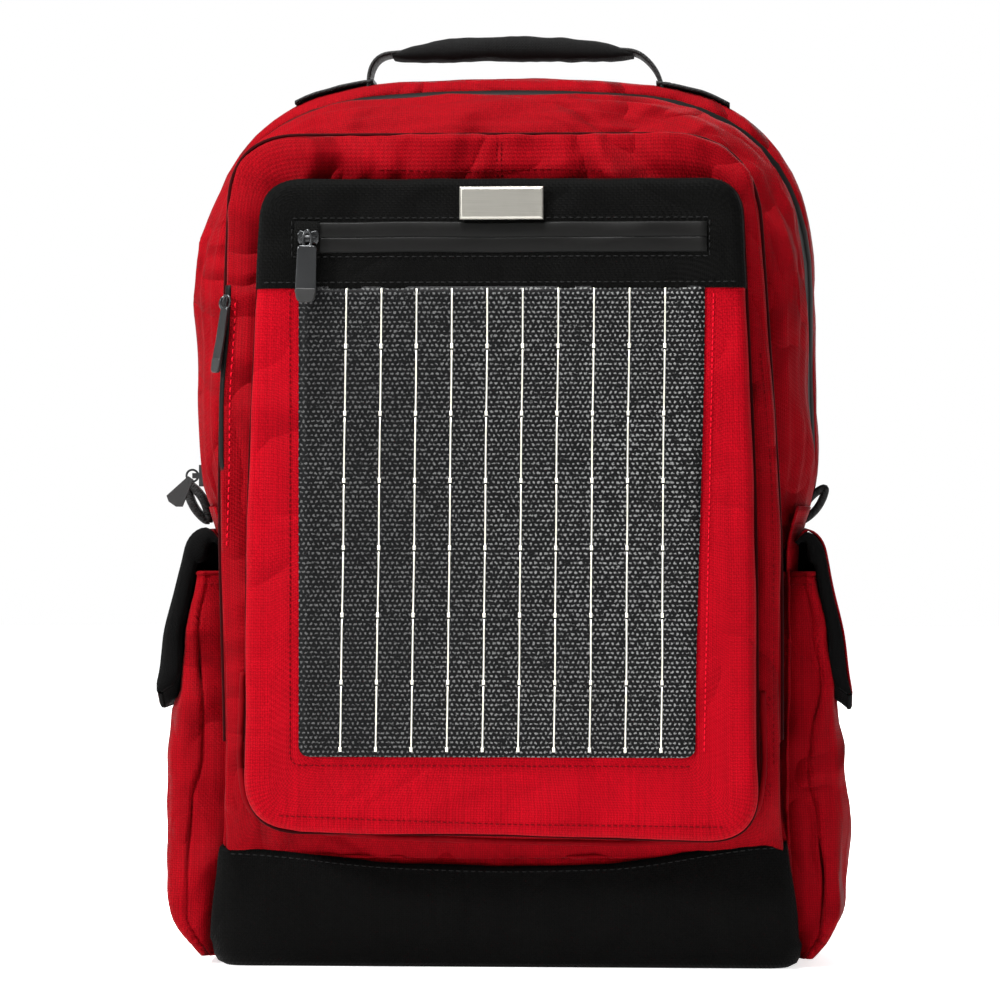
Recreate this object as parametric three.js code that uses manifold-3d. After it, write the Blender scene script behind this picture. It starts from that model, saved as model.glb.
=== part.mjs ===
// A laptop backpack with a flexible solar panel on its front pocket, as a three.js scene graph.
// Millimetres, +Z up. The solar panel faces -Y, the wearer's back is at +Y, and +X is to the right
// as seen from the front. The origin is on the underside of the base.
import * as THREE from "three";
import { mergeVertices } from "three/addons/utils/BufferGeometryUtils.js";
import Module from "manifold-3d";

const wasm = await Module();
wasm.setup();

// Driving dimensions.
const GAP = 0.3; // clearance between touching pieces
const WALL = 4; // foam-lined fabric wall
const HALF_WIDTH = 170; // main compartment above the waist
const HALF_BASE = 157; // body below the waist, between the side pockets
const WAIST = { low: 236, high: 264 }; // where the narrow lower body widens
const CROWN = 476; // top of the main zip
const REAR_CROWN = 484; // top of the rear gusset
const BACK = { inner: 70, outer: 80 }; // the back panel's faces
const PAD = 11; // thickness of the padding against the wearer
const ZIP = { front: 4, middle: 10, rear: 16 }; // depth of the main zip's tapes
const FRONT = { inner: -40, outer: -44 }; // the front wall's faces
const ROUND = 20; // rounding of the front gusset
const BASE_TOP = 61.7; // top edge of the black base
const BASE_FRONT = -58;
const POCKET = { half: 150, low: 72, high: 447, front: -80, round: 10 }; // front pocket
const FLAP = { half: 140, low: 79, high: 420, front: -96, round: 5 }; // solar pocket's face
const WINDOW = { left: -111, right: 101, low: 117, high: 372 }; // opening over the solar laminate
const HEADER_LOW = 364; // lower edge of the black header
const PANEL_ZIP = { left: -109, right: 105, z: 391 };
const SIDE_POCKET = { front: -36, rear: 58, low: 5, top: 213 };
const SIDE_FLAP = { front: -38, rear: 60 }; // depth of the side flaps
const HANDLE = { y: 38, half: 79, foot: 483.5, width: 25 };
const SEGMENTS = 7; // steps along each curve of an outline
const RED = 0xb80a22;
const BLACK = 0x18181a;

const group = new THREE.Group();

// Solids ---------------------------------------------------------------------------------------

// A closed geometry as a solid that can be cut and joined.
function solid(geometry) {
  const bare = geometry.index ? geometry.toNonIndexed() : geometry.clone();
  bare.deleteAttribute("normal");
  bare.deleteAttribute("uv");
  const merged = mergeVertices(bare, 1e-3);
  return new wasm.Manifold(
    new wasm.Mesh({
      numProp: 3,
      vertProperties: merged.attributes.position.array,
      triVerts: new Uint32Array(merged.index.array),
    }),
  );
}

function geometryOf(body) {
  const mesh = body.getMesh();
  return new THREE.BufferGeometry()
    .setAttribute("position", new THREE.BufferAttribute(mesh.vertProperties, mesh.numProp))
    .setIndex(new THREE.BufferAttribute(mesh.triVerts, 1));
}

function box(x0, x1, y0, y1, z0, z1) {
  const made = new THREE.BoxGeometry(x1 - x0, y1 - y0, z1 - z0);
  return solid(made.translate((x0 + x1) / 2, (y0 + y1) / 2, (z0 + z1) / 2));
}

// Extrudes an outline in (x, z) from y = rear towards -Y to y = front. The front edge is rounded.
function prismY(shape, front, rear, round = 0) {
  const made = new THREE.ExtrudeGeometry(shape, {
    depth: rear - front - round,
    curveSegments: SEGMENTS,
    bevelEnabled: round > 0,
    bevelThickness: round,
    bevelSize: round,
    bevelOffset: -round,
    bevelSegments: round > 12 ? 4 : 2,
  });
  const body = solid(made.rotateX(Math.PI / 2).translate(0, rear, 0));
  return round > 0 ? body.subtract(box(-600, 600, rear, rear + 2 * round, -200, 900)) : body;
}

// Extrudes an outline in (y, z) from x = low to x = high.
function prismX(shape, low, high) {
  const made = new THREE.ExtrudeGeometry(shape, {
    depth: high - low,
    curveSegments: SEGMENTS,
    bevelEnabled: false,
  });
  const turn = new THREE.Matrix4().makeBasis(
    new THREE.Vector3(0, 1, 0),
    new THREE.Vector3(0, 0, 1),
    new THREE.Vector3(1, 0, 0),
  );
  return solid(made.applyMatrix4(turn).translate(low, 0, 0));
}

function polygon(points) {
  return new THREE.Shape(points.map(([a, b]) => new THREE.Vector2(a, b)));
}

function roundedRect(x0, x1, z0, z1, top, bottom = top) {
  const shape = new THREE.Shape();
  shape.moveTo(x0 + bottom, z0);
  shape.lineTo(x1 - bottom, z0);
  shape.quadraticCurveTo(x1, z0, x1, z0 + bottom);
  shape.lineTo(x1, z1 - top);
  shape.quadraticCurveTo(x1, z1, x1 - top, z1);
  shape.lineTo(x0 + top, z1);
  shape.quadraticCurveTo(x0, z1, x0, z1 - top);
  shape.lineTo(x0, z0 + bottom);
  shape.quadraticCurveTo(x0, z0, x0 + bottom, z0);
  return shape;
}

// A band of constant or varying width around a smooth line through points given as [a, b, width].
function band(points, steps) {
  const line = new THREE.SplineCurve(points.map(([a, b]) => new THREE.Vector2(a, b)));
  const left = [];
  const right = [];
  for (let i = 0; i <= steps; i++) {
    const t = i / steps;
    const at = line.getPoint(t);
    const along = line.getTangent(t);
    const place = t * (points.length - 1);
    const k = Math.min(Math.floor(place), points.length - 2);
    const half = THREE.MathUtils.lerp(points[k][2], points[k + 1][2], place - k) / 2;
    left.push(new THREE.Vector2(at.x - along.y * half, at.y + along.x * half));
    right.unshift(new THREE.Vector2(at.x + along.y * half, at.y - along.x * half));
  }
  return new THREE.Shape([...left, ...right]);
}

// The mirror image of a geometry across X = 0, with its triangles turned to face out again.
function mirrored(geometry) {
  const image = geometry.clone().scale(-1, 1, 1);
  const index = image.index.array;
  for (let i = 0; i < index.length; i += 3) {
    [index[i], index[i + 1]] = [index[i + 1], index[i]];
  }
  return image;
}

function addGeometry(name, geometry, color, roughness = 0.85, metalness = 0) {
  const material = new THREE.MeshStandardMaterial({ color, roughness, metalness });
  const mesh = new THREE.Mesh(geometry, material);
  mesh.name = name;
  group.add(mesh);
  return mesh;
}

function add(name, body, ...look) {
  return addGeometry(name, geometryOf(body), ...look);
}

// Adds a piece made for the right side, and its mirror image for the left.
function addPair(name, body, ...look) {
  const right = geometryOf(body);
  addGeometry(name + "_right", right, ...look);
  addGeometry(name + "_left", mirrored(right), ...look);
}

// The bag's outline seen from the front: narrow below the waist, an arched top above.
function bagOutline(inset, crown, low) {
  const base = HALF_BASE - inset;
  const wide = HALF_WIDTH - inset;
  const top = crown - inset;
  const shape = new THREE.Shape();
  shape.moveTo(-base, low);
  shape.lineTo(base, low);
  shape.lineTo(base, WAIST.low);
  shape.lineTo(wide, WAIST.high);
  shape.lineTo(wide, top - 118);
  shape.bezierCurveTo(wide, top - 68, wide - 9, top - 22, wide - 54, top - 9);
  shape.bezierCurveTo(wide - 88, top - 1, 44, top, 0, top);
  shape.bezierCurveTo(-44, top, 88 - wide, top - 1, 54 - wide, top - 9);
  shape.bezierCurveTo(9 - wide, top - 22, -wide, top - 68, -wide, top - 118);
  shape.lineTo(-wide, WAIST.high);
  shape.lineTo(-base, WAIST.low);
  return shape;
}

const aboveWaist = box(-600, 600, -600, 600, WAIST.low + GAP, 900);

// An arched wall that follows the bag's outline above the waist.
function arch(crown, outer, inner, front, rear) {
  return prismY(bagOutline(outer, crown, 100), front, rear)
    .subtract(prismY(bagOutline(inner, crown, 90), front - 1, rear + 1))
    .intersect(aboveWaist);
}

// Main body --------------------------------------------------------------------------------------

function backPanel() {
  add("back_panel", prismY(bagOutline(0, REAR_CROWN, 3.3), BACK.inner, BACK.outer), BLACK);
  // The pads are rounded on the side that faces the wearer, so each is made facing -Y and turned round.
  const face = BACK.outer + GAP;
  const pads = [
    ["back_pad_left", roundedRect(12, 112, 132, 392, 26, 18)],
    ["back_pad_right", roundedRect(-112, -12, 132, 392, 26, 18)],
    ["lumbar_pad", roundedRect(-112, 112, 44, 120, 18)],
  ];
  for (const [name, outline] of pads) {
    add(name, prismY(outline, -face - PAD, -face, 4), BLACK).rotation.z = Math.PI;
  }
  add("strap_yoke", prismY(roundedRect(-104, 104, 404, 452, 14), BACK.outer + GAP, BACK.outer + 3.3), BLACK);
}

function body() {
  add("rear_gusset", arch(REAR_CROWN, 0, WALL, ZIP.rear + GAP, BACK.inner - GAP), RED);
  const side = polygon([
    [BASE_FRONT + 4.3, 3.3],
    [BACK.inner - GAP, 3.3],
    [BACK.inner - GAP, WAIST.low],
    [FRONT.inner, WAIST.low],
    [FRONT.inner, BASE_TOP],
    [BASE_FRONT + 4.3, BASE_TOP],
  ]);
  addPair("side_wall", prismX(side, HALF_BASE - WALL, HALF_BASE), RED);
  const tub = polygon([
    [BASE_FRONT, 0],
    [BACK.inner - GAP, 0],
    [BACK.inner - GAP, 3],
    [BASE_FRONT + 4, 3],
    [BASE_FRONT + 4, BASE_TOP],
    [BASE_FRONT, BASE_TOP],
  ]);
  add("base_panel", prismX(tub, -155, 155), BLACK);
  add("base_stiffener", box(-148, 148, -50, 66, 3.3, 5.8), BLACK, 0.5);
  add("laptop_divider", prismY(roundedRect(-148, 148, 6.2, 330, 20, 2), 42, 46), BLACK);
}

// The side pocket's outer face bulges, so its section is drawn as a band of straight runs.
function sidePockets() {
  const outer = [[176, SIDE_POCKET.low], [183, 40], [185, 100], [181, 150], [177, SIDE_POCKET.top]];
  const seam = HALF_BASE + GAP;
  const outerShape = polygon([[seam, SIDE_POCKET.low], ...outer, [seam, SIDE_POCKET.top]]);
  const floor = SIDE_POCKET.low + 4;
  const inner = outer.map(([x, z]) => [x - 3, Math.max(z, floor)]);
  const innerShape = polygon([[HALF_BASE - 9, floor], ...inner, [174, 300], [HALF_BASE - 9, 300]]);
  const hollow = prismY(innerShape, SIDE_POCKET.front + 3, SIDE_POCKET.rear - 3);
  addPair("side_pocket", prismY(outerShape, SIDE_POCKET.front, SIDE_POCKET.rear).subtract(hollow), RED);

  const root = polygon([[seam, 226], [175, 226.5], [176, 228], [175, 230.5], [seam, 231]]);
  addPair("side_flap_root", prismY(root, SIDE_FLAP.front, SIDE_FLAP.rear), RED);
  const hanging = band([[180, 229, 4], [187, 205, 5], [191.5, 170, 5], [192, 142, 4]], 6);
  addPair("side_flap", prismY(hanging, SIDE_FLAP.front, SIDE_FLAP.rear), RED);
}

// Main zip ---------------------------------------------------------------------------------------

const SLIDER = { thick: 3, length: 12, width: 9 }; // a slider's body
const BRIDGE = { eye: 2.5, top: 3.9, half: 1.5 }; // the bridge on it, which a puller's ring passes under
const RING = { radius: 3.3, wire: 0.6, out: SLIDER.thick + 0.9 + 3.3 }; // out is the ring's centre
const BLADE = { half: 5.2, thick: 2, length: 29 };
const MAIN_SLIDER = { z: 265.5, lean: 35 };

// A slider around the origin, flat against X = 0. The tunnel under its bridge runs along Z.
function sliderBody(width, height) {
  const out = SLIDER.thick;
  const plate = box(0, out, -width / 2, width / 2, -height / 2, height / 2);
  const bridge = box(out - 0.5, out + BRIDGE.top, -3.2, 3.2, -BRIDGE.half, BRIDGE.half);
  const eye = box(out, out + BRIDGE.eye, -2, 2, -height, height);
  return plate.add(bridge.subtract(eye));
}

// A ring in the XZ plane, made of wire of the given radius.
function ring(wire, out = 0) {
  const torus = new THREE.TorusGeometry(RING.radius, wire, 6, 24);
  return solid(torus.rotateX(Math.PI / 2).translate(out, 0, 0));
}

// A flat puller that hangs from its ring, beside a slider around the origin.
function bladePuller() {
  const top = -RING.radius + 0.3;
  const outline = roundedRect(-BLADE.half, BLADE.half, top - BLADE.length, top, 1.5, 4);
  const half = BLADE.thick / 2;
  return prismX(outline, RING.out - half, RING.out + half).add(ring(RING.wire, RING.out));
}

// A flat fob that hangs from the bottom of the ring around the origin.
function fob() {
  const hang = -RING.radius;
  const blade = polygon([
    [-2.6, hang - 2],
    [-5.4, hang - 14],
    [-2.5, hang - 16],
    [2.5, hang - 16],
    [5.4, hang - 14],
    [2.6, hang - 2],
    [1.7, hang + 1.8],
    [-1.7, hang + 1.8],
  ]);
  return prismY(blade, -1.4, 1.4).subtract(ring(RING.wire + GAP));
}

function mainZip() {
  add("main_zip_tape_rear", arch(CROWN, 0, 2, ZIP.middle + GAP / 2, ZIP.rear), BLACK, 0.5);
  add("main_zip_tape_front", arch(CROWN, 0, 2, ZIP.front, ZIP.middle - GAP / 2), BLACK, 0.5);
  // The slider runs on the left side, just above the end of the zip, and its fob leans outwards.
  const face = HALF_WIDTH + 0.4;
  const body = sliderBody(SLIDER.width, SLIDER.length);
  const slider = addGeometry("main_slider", mirrored(geometryOf(body)), BLACK, 0.35, 0.6);
  slider.position.set(-face, ZIP.middle, MAIN_SLIDER.z);
  const puller = new THREE.Group();
  puller.position.set(-face - RING.out, ZIP.middle, MAIN_SLIDER.z);
  puller.rotation.y = THREE.MathUtils.degToRad(MAIN_SLIDER.lean);
  group.add(puller);
  puller.add(add("main_ring", ring(RING.wire), BLACK, 0.35, 0.6), add("main_puller", fob(), BLACK, 0.5));

  // A folded webbing tab stands out beside each end of the zip, to hold while the slider is pulled.
  const tab = band(
    [
      [161.9, 241.7, 3],
      [168, 249, 3],
      [174, 260, 3],
      [178, 261.5, 3],
      [178.5, 256, 3],
      [173.5, 246.5, 3],
      [167, 238.5, 3],
    ],
    16,
  );
  addPair("zip_end_tab", prismY(tab, 19, 31), BLACK);
}

// Front: wall, gusset, front pocket ---------------------------------------------------------------

function frontWall() {
  const low = BASE_TOP + 0.6;
  const outer = prismY(bagOutline(0, CROWN, low - ROUND), FRONT.outer, ZIP.front - GAP, ROUND);
  const inner = prismY(bagOutline(WALL, CROWN, low - ROUND), FRONT.inner - GAP, ZIP.front + 9, ROUND - 2);
  const shell = outer.subtract(inner);
  const face = prismY(bagOutline(ROUND, CROWN, low), FRONT.outer - 1, FRONT.inner - GAP);
  const aboveBase = box(-600, 600, -600, 600, low, 900);
  add("front_wall", shell.intersect(face).intersect(aboveBase), RED);
  const faceHole = prismY(bagOutline(ROUND - GAP, CROWN, low - 40), FRONT.outer - 2, FRONT.inner + 60);
  add("front_gusset", shell.subtract(faceHole).intersect(aboveWaist), RED);
}

const POCKET_ZIP = { low: 228, high: 366, y: -65, half: 3.7 }; // in the front pocket's left side

function frontPocket() {
  const outline = (inset) => {
    const half = POCKET.half - inset;
    return roundedRect(-half, half, POCKET.low + inset, POCKET.high - inset, 52 - inset, 30 - inset);
  };
  const outer = prismY(outline(0), POCKET.front, FRONT.outer - GAP, POCKET.round);
  const inner = prismY(outline(3), POCKET.front + 3, FRONT.outer + 9, POCKET.round - 2);
  const { low, high, y, half } = POCKET_ZIP;
  const slot = box(-160, -140, y - half - GAP, y + half + GAP, low, high);
  add("front_pocket", outer.subtract(inner).subtract(slot), RED);
  const tape = box(-149.5, -147.5, y - half, y + half, low + GAP, high - GAP);
  const coil = box(-150.2, -149, y - 1.2, y + 1.2, low + GAP, high - GAP);
  add("pocket_zip_tape", tape.add(coil), BLACK, 0.5);
  const body = sliderBody(SLIDER.width, SLIDER.length);
  const slider = addGeometry("pocket_slider", mirrored(geometryOf(body)), BLACK, 0.35, 0.6);
  slider.position.set(-POCKET.half - 0.6, y, high - 8);
  // Its puller hangs down the pocket's side.
  const puller = addGeometry("pocket_puller", mirrored(geometryOf(bladePuller())), BLACK, 0.35, 0.4);
  puller.position.copy(slider.position);
}

// Solar pocket on the front pocket's face ---------------------------------------------------------

function solarPocket() {
  const outline = (inset) => {
    const half = FLAP.half - inset;
    return roundedRect(-half, half, FLAP.low + inset, FLAP.high - inset, 38 - inset, 30 - inset);
  };
  const outer = prismY(outline(0), FLAP.front, POCKET.front - GAP, FLAP.round);
  const inner = prismY(outline(2.5), FLAP.front + 2.4, POCKET.front + 9, FLAP.round - 2);
  const window = prismY(roundedRect(WINDOW.left, WINDOW.right, WINDOW.low, WINDOW.high, 3), -130, -85);
  const { left, right, z } = PANEL_ZIP;
  const mouth = box(left, right, -130, -85, z - 7.5, z + 7.5);
  add("solar_pocket", outer.subtract(inner).subtract(window).subtract(mouth), RED);

  const header = prismY(roundedRect(-129, 124, HEADER_LOW, 414, 24, 0.5), FLAP.front - 1.5, FLAP.front - GAP);
  const slot = box(left - 2, right + 2, -130, -85, z - 9, z + 9);
  add("header_panel", header.subtract(slot), BLACK);
  const tape = box(left - 1.5, right + 1.5, FLAP.front - 1.2, FLAP.front - GAP, z - 8.6, z + 8.6);
  const groove = box(left - 9, right + 9, -130, FLAP.front - 0.8, z - 0.4, z + 0.4);
  add("panel_zip_tape", tape.subtract(groove), BLACK, 0.45);

  // The slider runs along X with its bridge towards -Y, and its puller hangs down across the zip.
  const puller = new THREE.Group();
  puller.position.set(left + 7, FLAP.front - 1.6, z);
  puller.rotation.z = -Math.PI / 2;
  puller.add(add("panel_slider", sliderBody(SLIDER.length, SLIDER.width), BLACK, 0.35, 0.6));
  puller.add(add("panel_puller", bladePuller(), BLACK, 0.35, 0.3));
  group.add(puller);
  const plate = prismY(roundedRect(-22, 22.5, 400, 417.5, 1.4), FLAP.front - 4, FLAP.front - 1.8, 0.6);
  add("name_plate", plate, 0xc8c8c0, 0.3, 0.9);
}

const CELLS = { count: 7, left: -108, right: 98, low: 121, high: 369 };
const RIBBONS = { count: 10, first: -86.6, pitch: 18.9, width: 0.8 };

function solarLaminate() {
  const back = FLAP.front + 5;
  const { left, right, low, high } = WINDOW;
  add("solar_backsheet", box(left - 6, right + 6, back - 0.8, back, low - 6, high + 6), BLACK, 0.6);
  const row = (CELLS.high - CELLS.low) / CELLS.count;
  let cells = box(CELLS.left, CELLS.right, back - 1.7, back - 0.8 - GAP, CELLS.low, CELLS.high);
  for (let i = 1; i < CELLS.count; i++) {
    const z = CELLS.low + i * row;
    cells = cells.subtract(box(-200, 200, -130, back - 1.4, z - 0.5, z + 0.5));
  }
  add("solar_cells", cells, 0x101014, 0.4);
  let ribbons = box(CELLS.left, CELLS.right, back - 2.4, back - 2, CELLS.high - 2, CELLS.high);
  for (let i = 0; i < RIBBONS.count; i++) {
    const x = RIBBONS.first + i * RIBBONS.pitch;
    const half = RIBBONS.width / 2;
    ribbons = ribbons.add(box(x - half, x + half, back - 2.4, back - 2, CELLS.low, CELLS.high - 1));
  }
  add("solar_ribbons", ribbons, 0xd8d6c8, 0.35, 0.7);
  const film = roundedRect(WINDOW.left + GAP, WINDOW.right - GAP, WINDOW.low + GAP, WINDOW.high - GAP, 3);
  add("solar_film", prismY(film, back - 3.5, back - 2.7), 0x1c1c20, 0.25);
}

const BOX = { left: -62, right: 2, low: 318, high: 352 }; // charge controller behind the laminate

function controller() {
  const back = FLAP.front + 5 + GAP;
  const outer = prismY(roundedRect(BOX.left, BOX.right, BOX.low, BOX.high, 3), back, back + 8);
  const hollow = box(BOX.left + 2, BOX.right - 2, back + 1.5, back + 9, BOX.low + 2, BOX.high - 2);
  const port = box(-38, -22, back + 1.2, back + 6.8, BOX.low - 1, BOX.low + 3);
  add("controller_case", outer.subtract(hollow).subtract(port), BLACK, 0.5);
  const board = box(BOX.left + 3, BOX.right - 3, back + 5.6, back + 7.2, BOX.low + 15, BOX.high - 3);
  add("controller_board", board, 0x1f5a34, 0.5);
  const shell = box(-37.2, -22.8, back + 1.5, back + 6.5, BOX.low + 0.4, BOX.low + 14);
  const mouth = box(-36.4, -23.6, back + 2.2, back + 5.8, BOX.low - 1, BOX.low + 12);
  add("usb_port", shell.subtract(mouth), 0xc0c0c4, 0.3, 0.9);
  const lid = prismY(roundedRect(BOX.left, BOX.right, BOX.low, BOX.high, 3), back + 8.3, back + 9.6);
  add("controller_lid", lid, BLACK, 0.5);
}

// Handle and straps --------------------------------------------------------------------------------

function handle() {
  const { half, foot, y, width } = HANDLE;
  const corners = [[-half, foot], [-79.5, 492], [-71, 500], [0, 505.4], [71, 500], [79.5, 492], [half, foot]];
  const line = corners.map(([x, z]) => [x, z, 2.4]);
  // The webbing's feet are gathered to a point where they are sewn down, so that the handle can fall over.
  const side = polygon([
    [y - 1, foot - 1],
    [y + 1, foot - 1],
    [y + width / 2, foot + 12],
    [y + width / 2, foot + 30],
    [y - width / 2, foot + 30],
    [y - width / 2, foot + 12],
  ]);
  const webbing = prismY(band(line, 30), y - width / 2, y + width / 2);
  add("handle_webbing", webbing.intersect(prismX(side, -100, 100)), BLACK);
  const grip = band([[-66, 500.8, 6], [-35, 503.8, 9], [0, 505.2, 10.5], [35, 503.8, 9], [66, 500.8, 6]], 10);
  const bore = prismY(band(line.map(([x, z, w]) => [x, z, w + 0.7]), 30), y - 13, y + 13);
  add("handle_grip", prismY(grip, y - 15, y + 15).subtract(bore), BLACK, 0.6);

  const anchor = arch(REAR_CROWN, -3, -GAP, y - 13, y + 13).intersect(box(82, 121, -100, 100, 400, 600));
  addPair("handle_anchor", anchor, BLACK);
  const loop = band([[-14, 456, 3], [-13, 470, 3], [0, 477, 3], [13, 470, 3], [14, 456, 3]], 12);
  add("hang_loop", prismY(loop, BACK.outer + GAP, BACK.outer + 4), BLACK);
}

const STRAP = {
  lock: [127, 121, 196],
  foot: [164, 86, 47],
  webbing: 22,
};

function straps() {
  const front = band([[52, 430, 50], [60, 385, 56], [86, 315, 62], [114, 250, 58], [127, 200, 34]], 12);
  const side = band([[98, 430, 11], [121, 388, 13], [146, 318, 13], [143, 250, 13], [122, 200, 9]], 12);
  const pad = prismY(front, 60, 220).intersect(prismX(side, 0, 220));
  addPair("strap_pad", pad, BLACK);
  const root = polygon([
    [BACK.outer + 3.6, 434.2],
    [103.5, 434.2],
    [94, 450],
    [BACK.outer + 3.6, 452],
  ]);
  addPair("strap_root", prismX(root, 28, 76), BLACK);

  // The lower webbing runs straight from the ladder lock to the bag's lower corner.
  const lock = new THREE.Vector3(...STRAP.lock);
  const foot = new THREE.Vector3(...STRAP.foot);
  const up = lock.clone().sub(foot).normalize();
  const across = new THREE.Vector3(1, 0, 0).projectOnPlane(up).normalize();
  const out = new THREE.Vector3().crossVectors(across, up);
  const frame = new THREE.Matrix4().makeBasis(across, up, out);
  const placed = (geometry, at) => solid(geometry.applyMatrix4(frame).translate(at.x, at.y, at.z));

  const plate = roundedRect(-17, 17, -26, 0, 3);
  for (const z of [-21.5, -10.5]) {
    plate.holes.push(new THREE.Path(roundedRect(-12.5, 12.5, z, z + 6.5, 1.5).getPoints(2)));
  }
  const ladder = new THREE.ExtrudeGeometry(plate, { depth: 4, bevelEnabled: false, curveSegments: 3 });
  const lockFoot = lock.clone().addScaledVector(up, -2);
  addPair("ladder_lock", placed(ladder.translate(0, 0, -2), lockFoot), BLACK, 0.4);
  const start = lock.clone().addScaledVector(up, -29);
  const length = start.distanceTo(foot);
  const middle = start.clone().add(foot).multiplyScalar(0.5);
  addPair("strap_webbing", placed(new THREE.BoxGeometry(STRAP.webbing, length, 1.8), middle), BLACK);

  const wing = polygon([[HALF_BASE + GAP, 24], [171, 38], [171, 56], [HALF_BASE + GAP, 74]]);
  addPair("strap_anchor", prismY(wing, 74.5, 78.5), BLACK);
}

backPanel();
body();
sidePockets();
mainZip();
frontWall();
frontPocket();
solarPocket();
solarLaminate();
controller();
handle();
straps();

export default group;
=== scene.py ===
"""A red and black laptop backpack with a flexible solar panel on its front pocket.

Lengths are in millimetres until a mesh is made. The front faces -Y, the wearer's back is at +Y.
"""

import math

import bmesh
import bpy
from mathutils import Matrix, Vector, noise
from mathutils.bvhtree import BVHTree


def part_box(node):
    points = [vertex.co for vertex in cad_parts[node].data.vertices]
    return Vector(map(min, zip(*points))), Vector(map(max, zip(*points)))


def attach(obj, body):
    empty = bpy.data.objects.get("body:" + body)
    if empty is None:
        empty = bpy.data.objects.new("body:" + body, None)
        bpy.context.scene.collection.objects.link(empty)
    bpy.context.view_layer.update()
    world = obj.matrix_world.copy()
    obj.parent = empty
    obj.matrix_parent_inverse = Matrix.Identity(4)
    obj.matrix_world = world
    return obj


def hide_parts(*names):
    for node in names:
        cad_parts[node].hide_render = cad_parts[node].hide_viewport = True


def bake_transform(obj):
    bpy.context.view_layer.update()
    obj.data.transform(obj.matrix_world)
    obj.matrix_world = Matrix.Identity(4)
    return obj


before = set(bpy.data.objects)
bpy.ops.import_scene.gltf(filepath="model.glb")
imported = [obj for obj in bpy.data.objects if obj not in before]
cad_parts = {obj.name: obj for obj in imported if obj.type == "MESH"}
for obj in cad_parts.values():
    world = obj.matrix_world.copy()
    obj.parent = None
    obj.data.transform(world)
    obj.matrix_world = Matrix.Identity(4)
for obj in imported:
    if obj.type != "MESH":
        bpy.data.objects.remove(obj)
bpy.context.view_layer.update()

MM = 0.001
WAVE = 0.31416  # scale of a wave texture that repeats once for each unit
CLOTH_FRAMES = 20  # length of a pad's simulation
FLOOR_HALF = 6000
FLOOR_GLOW = 0.74


def box(*nodes):
    """Lowest and highest corner of some CAD nodes together, in millimetres."""
    corners = [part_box(node) for node in nodes]
    low = Vector([min(c[0][i] for c in corners) for i in range(3)]) / MM
    high = Vector([max(c[1][i] for c in corners) for i in range(3)]) / MM
    return low, high


# Sizes from the frame.
REAR = box("rear_gusset")
GUSSET = box("front_gusset")
WALL = box("front_wall")
POCKET = box("front_pocket")
SOLAR = box("solar_pocket")
HEADER = box("header_panel")
PANEL_ZIP = box("panel_zip_tape")
PLATE = box("name_plate")
BASE = box("base_panel")
SIDE = box("side_wall_right")
BACK = box("back_panel")
GRIP = box("handle_grip")
WEBBING = box("handle_webbing")
HALF = REAR[1].x  # half the bag's width above the waist
HALF_BASE = SIDE[1].x  # half its width below the waist
CROWN = REAR[1].z
ZIP_CROWN = GUSSET[1].z
WAIST = GUSSET[0].z


# Small maths -----------------------------------------------------------------------------------


def mix(a, b, t):
    return a + (b - a) * t


def squared(value, power):
    """Raises the size of a sine or cosine to a power and keeps its sign, which squares a circle off."""
    return math.copysign(abs(value) ** power, value)


def smooth(low, high, value):
    """Rises smoothly from 0 at low to 1 at high."""
    t = min(1.0, max(0.0, (value - low) / (high - low)))
    return t * t * (3 - 2 * t)


def hump(centre, width, value):
    """1 at centre, falling to 0 at a distance of width."""
    return 1 - smooth(0, width, abs(value - centre))


def wander(point, size, seed=0.0):
    """Smooth noise between about -1 and 1 whose lumps are about that size."""
    p = Vector(point) / size
    return noise.noise(p + Vector((seed, seed * 1.7, seed * 0.6)))


def crinkle(point, size, seed=0.0):
    """Like wander, but with sharp ridges between soft hollows, as creased cloth has."""
    return 0.6 - 2.2 * abs(wander(point, size, seed))


def along(table, value):
    """Looks a value up in a table of (place, value) rows, with smooth steps between them."""
    for (a, low), (b, high) in zip(table, table[1:]):
        if value <= b:
            return mix(low, high, smooth(a, b, value)) if value > a else low
    return table[-1][1]


def resample(points, count):
    """Points at even spacing along a line."""
    total = [0.0]
    for a, b in zip(points, points[1:]):
        total.append(total[-1] + (b - a).length)
    made = []
    k = 0
    for i in range(count):
        target = total[-1] * i / (count - 1)
        while k < len(points) - 2 and total[k + 1] < target:
            k += 1
        span = max(total[k + 1] - total[k], 1e-9)
        made.append(points[k].lerp(points[k + 1], (target - total[k]) / span))
    return made


def rounded(corners, count):
    """A line through corners given as (a, b, cut), where cut is how far back from it the rounding starts."""
    spots = [Vector((a, b)) for a, b, cut in corners]
    line = [spots[0]]
    last = len(corners) - 1
    for i in range(1, last):
        cut = corners[i][2]
        before = spots[i - 1] - spots[i]
        after = spots[i + 1] - spots[i]
        # Neighbouring roundings share the straight run between them.
        share_before = 1 if i == 1 else cut / max(cut + corners[i - 1][2], 1e-6)
        share_after = 1 if i == last - 1 else cut / max(cut + corners[i + 1][2], 1e-6)
        start = spots[i] + before.normalized() * min(cut, before.length * share_before)
        end = spots[i] + after.normalized() * min(cut, after.length * share_after)
        for k in range(13):
            t = k / 12
            line.append(start.lerp(spots[i], t).lerp(spots[i].lerp(end, t), t))
    line.append(spots[-1])
    return resample(line, count)


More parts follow.
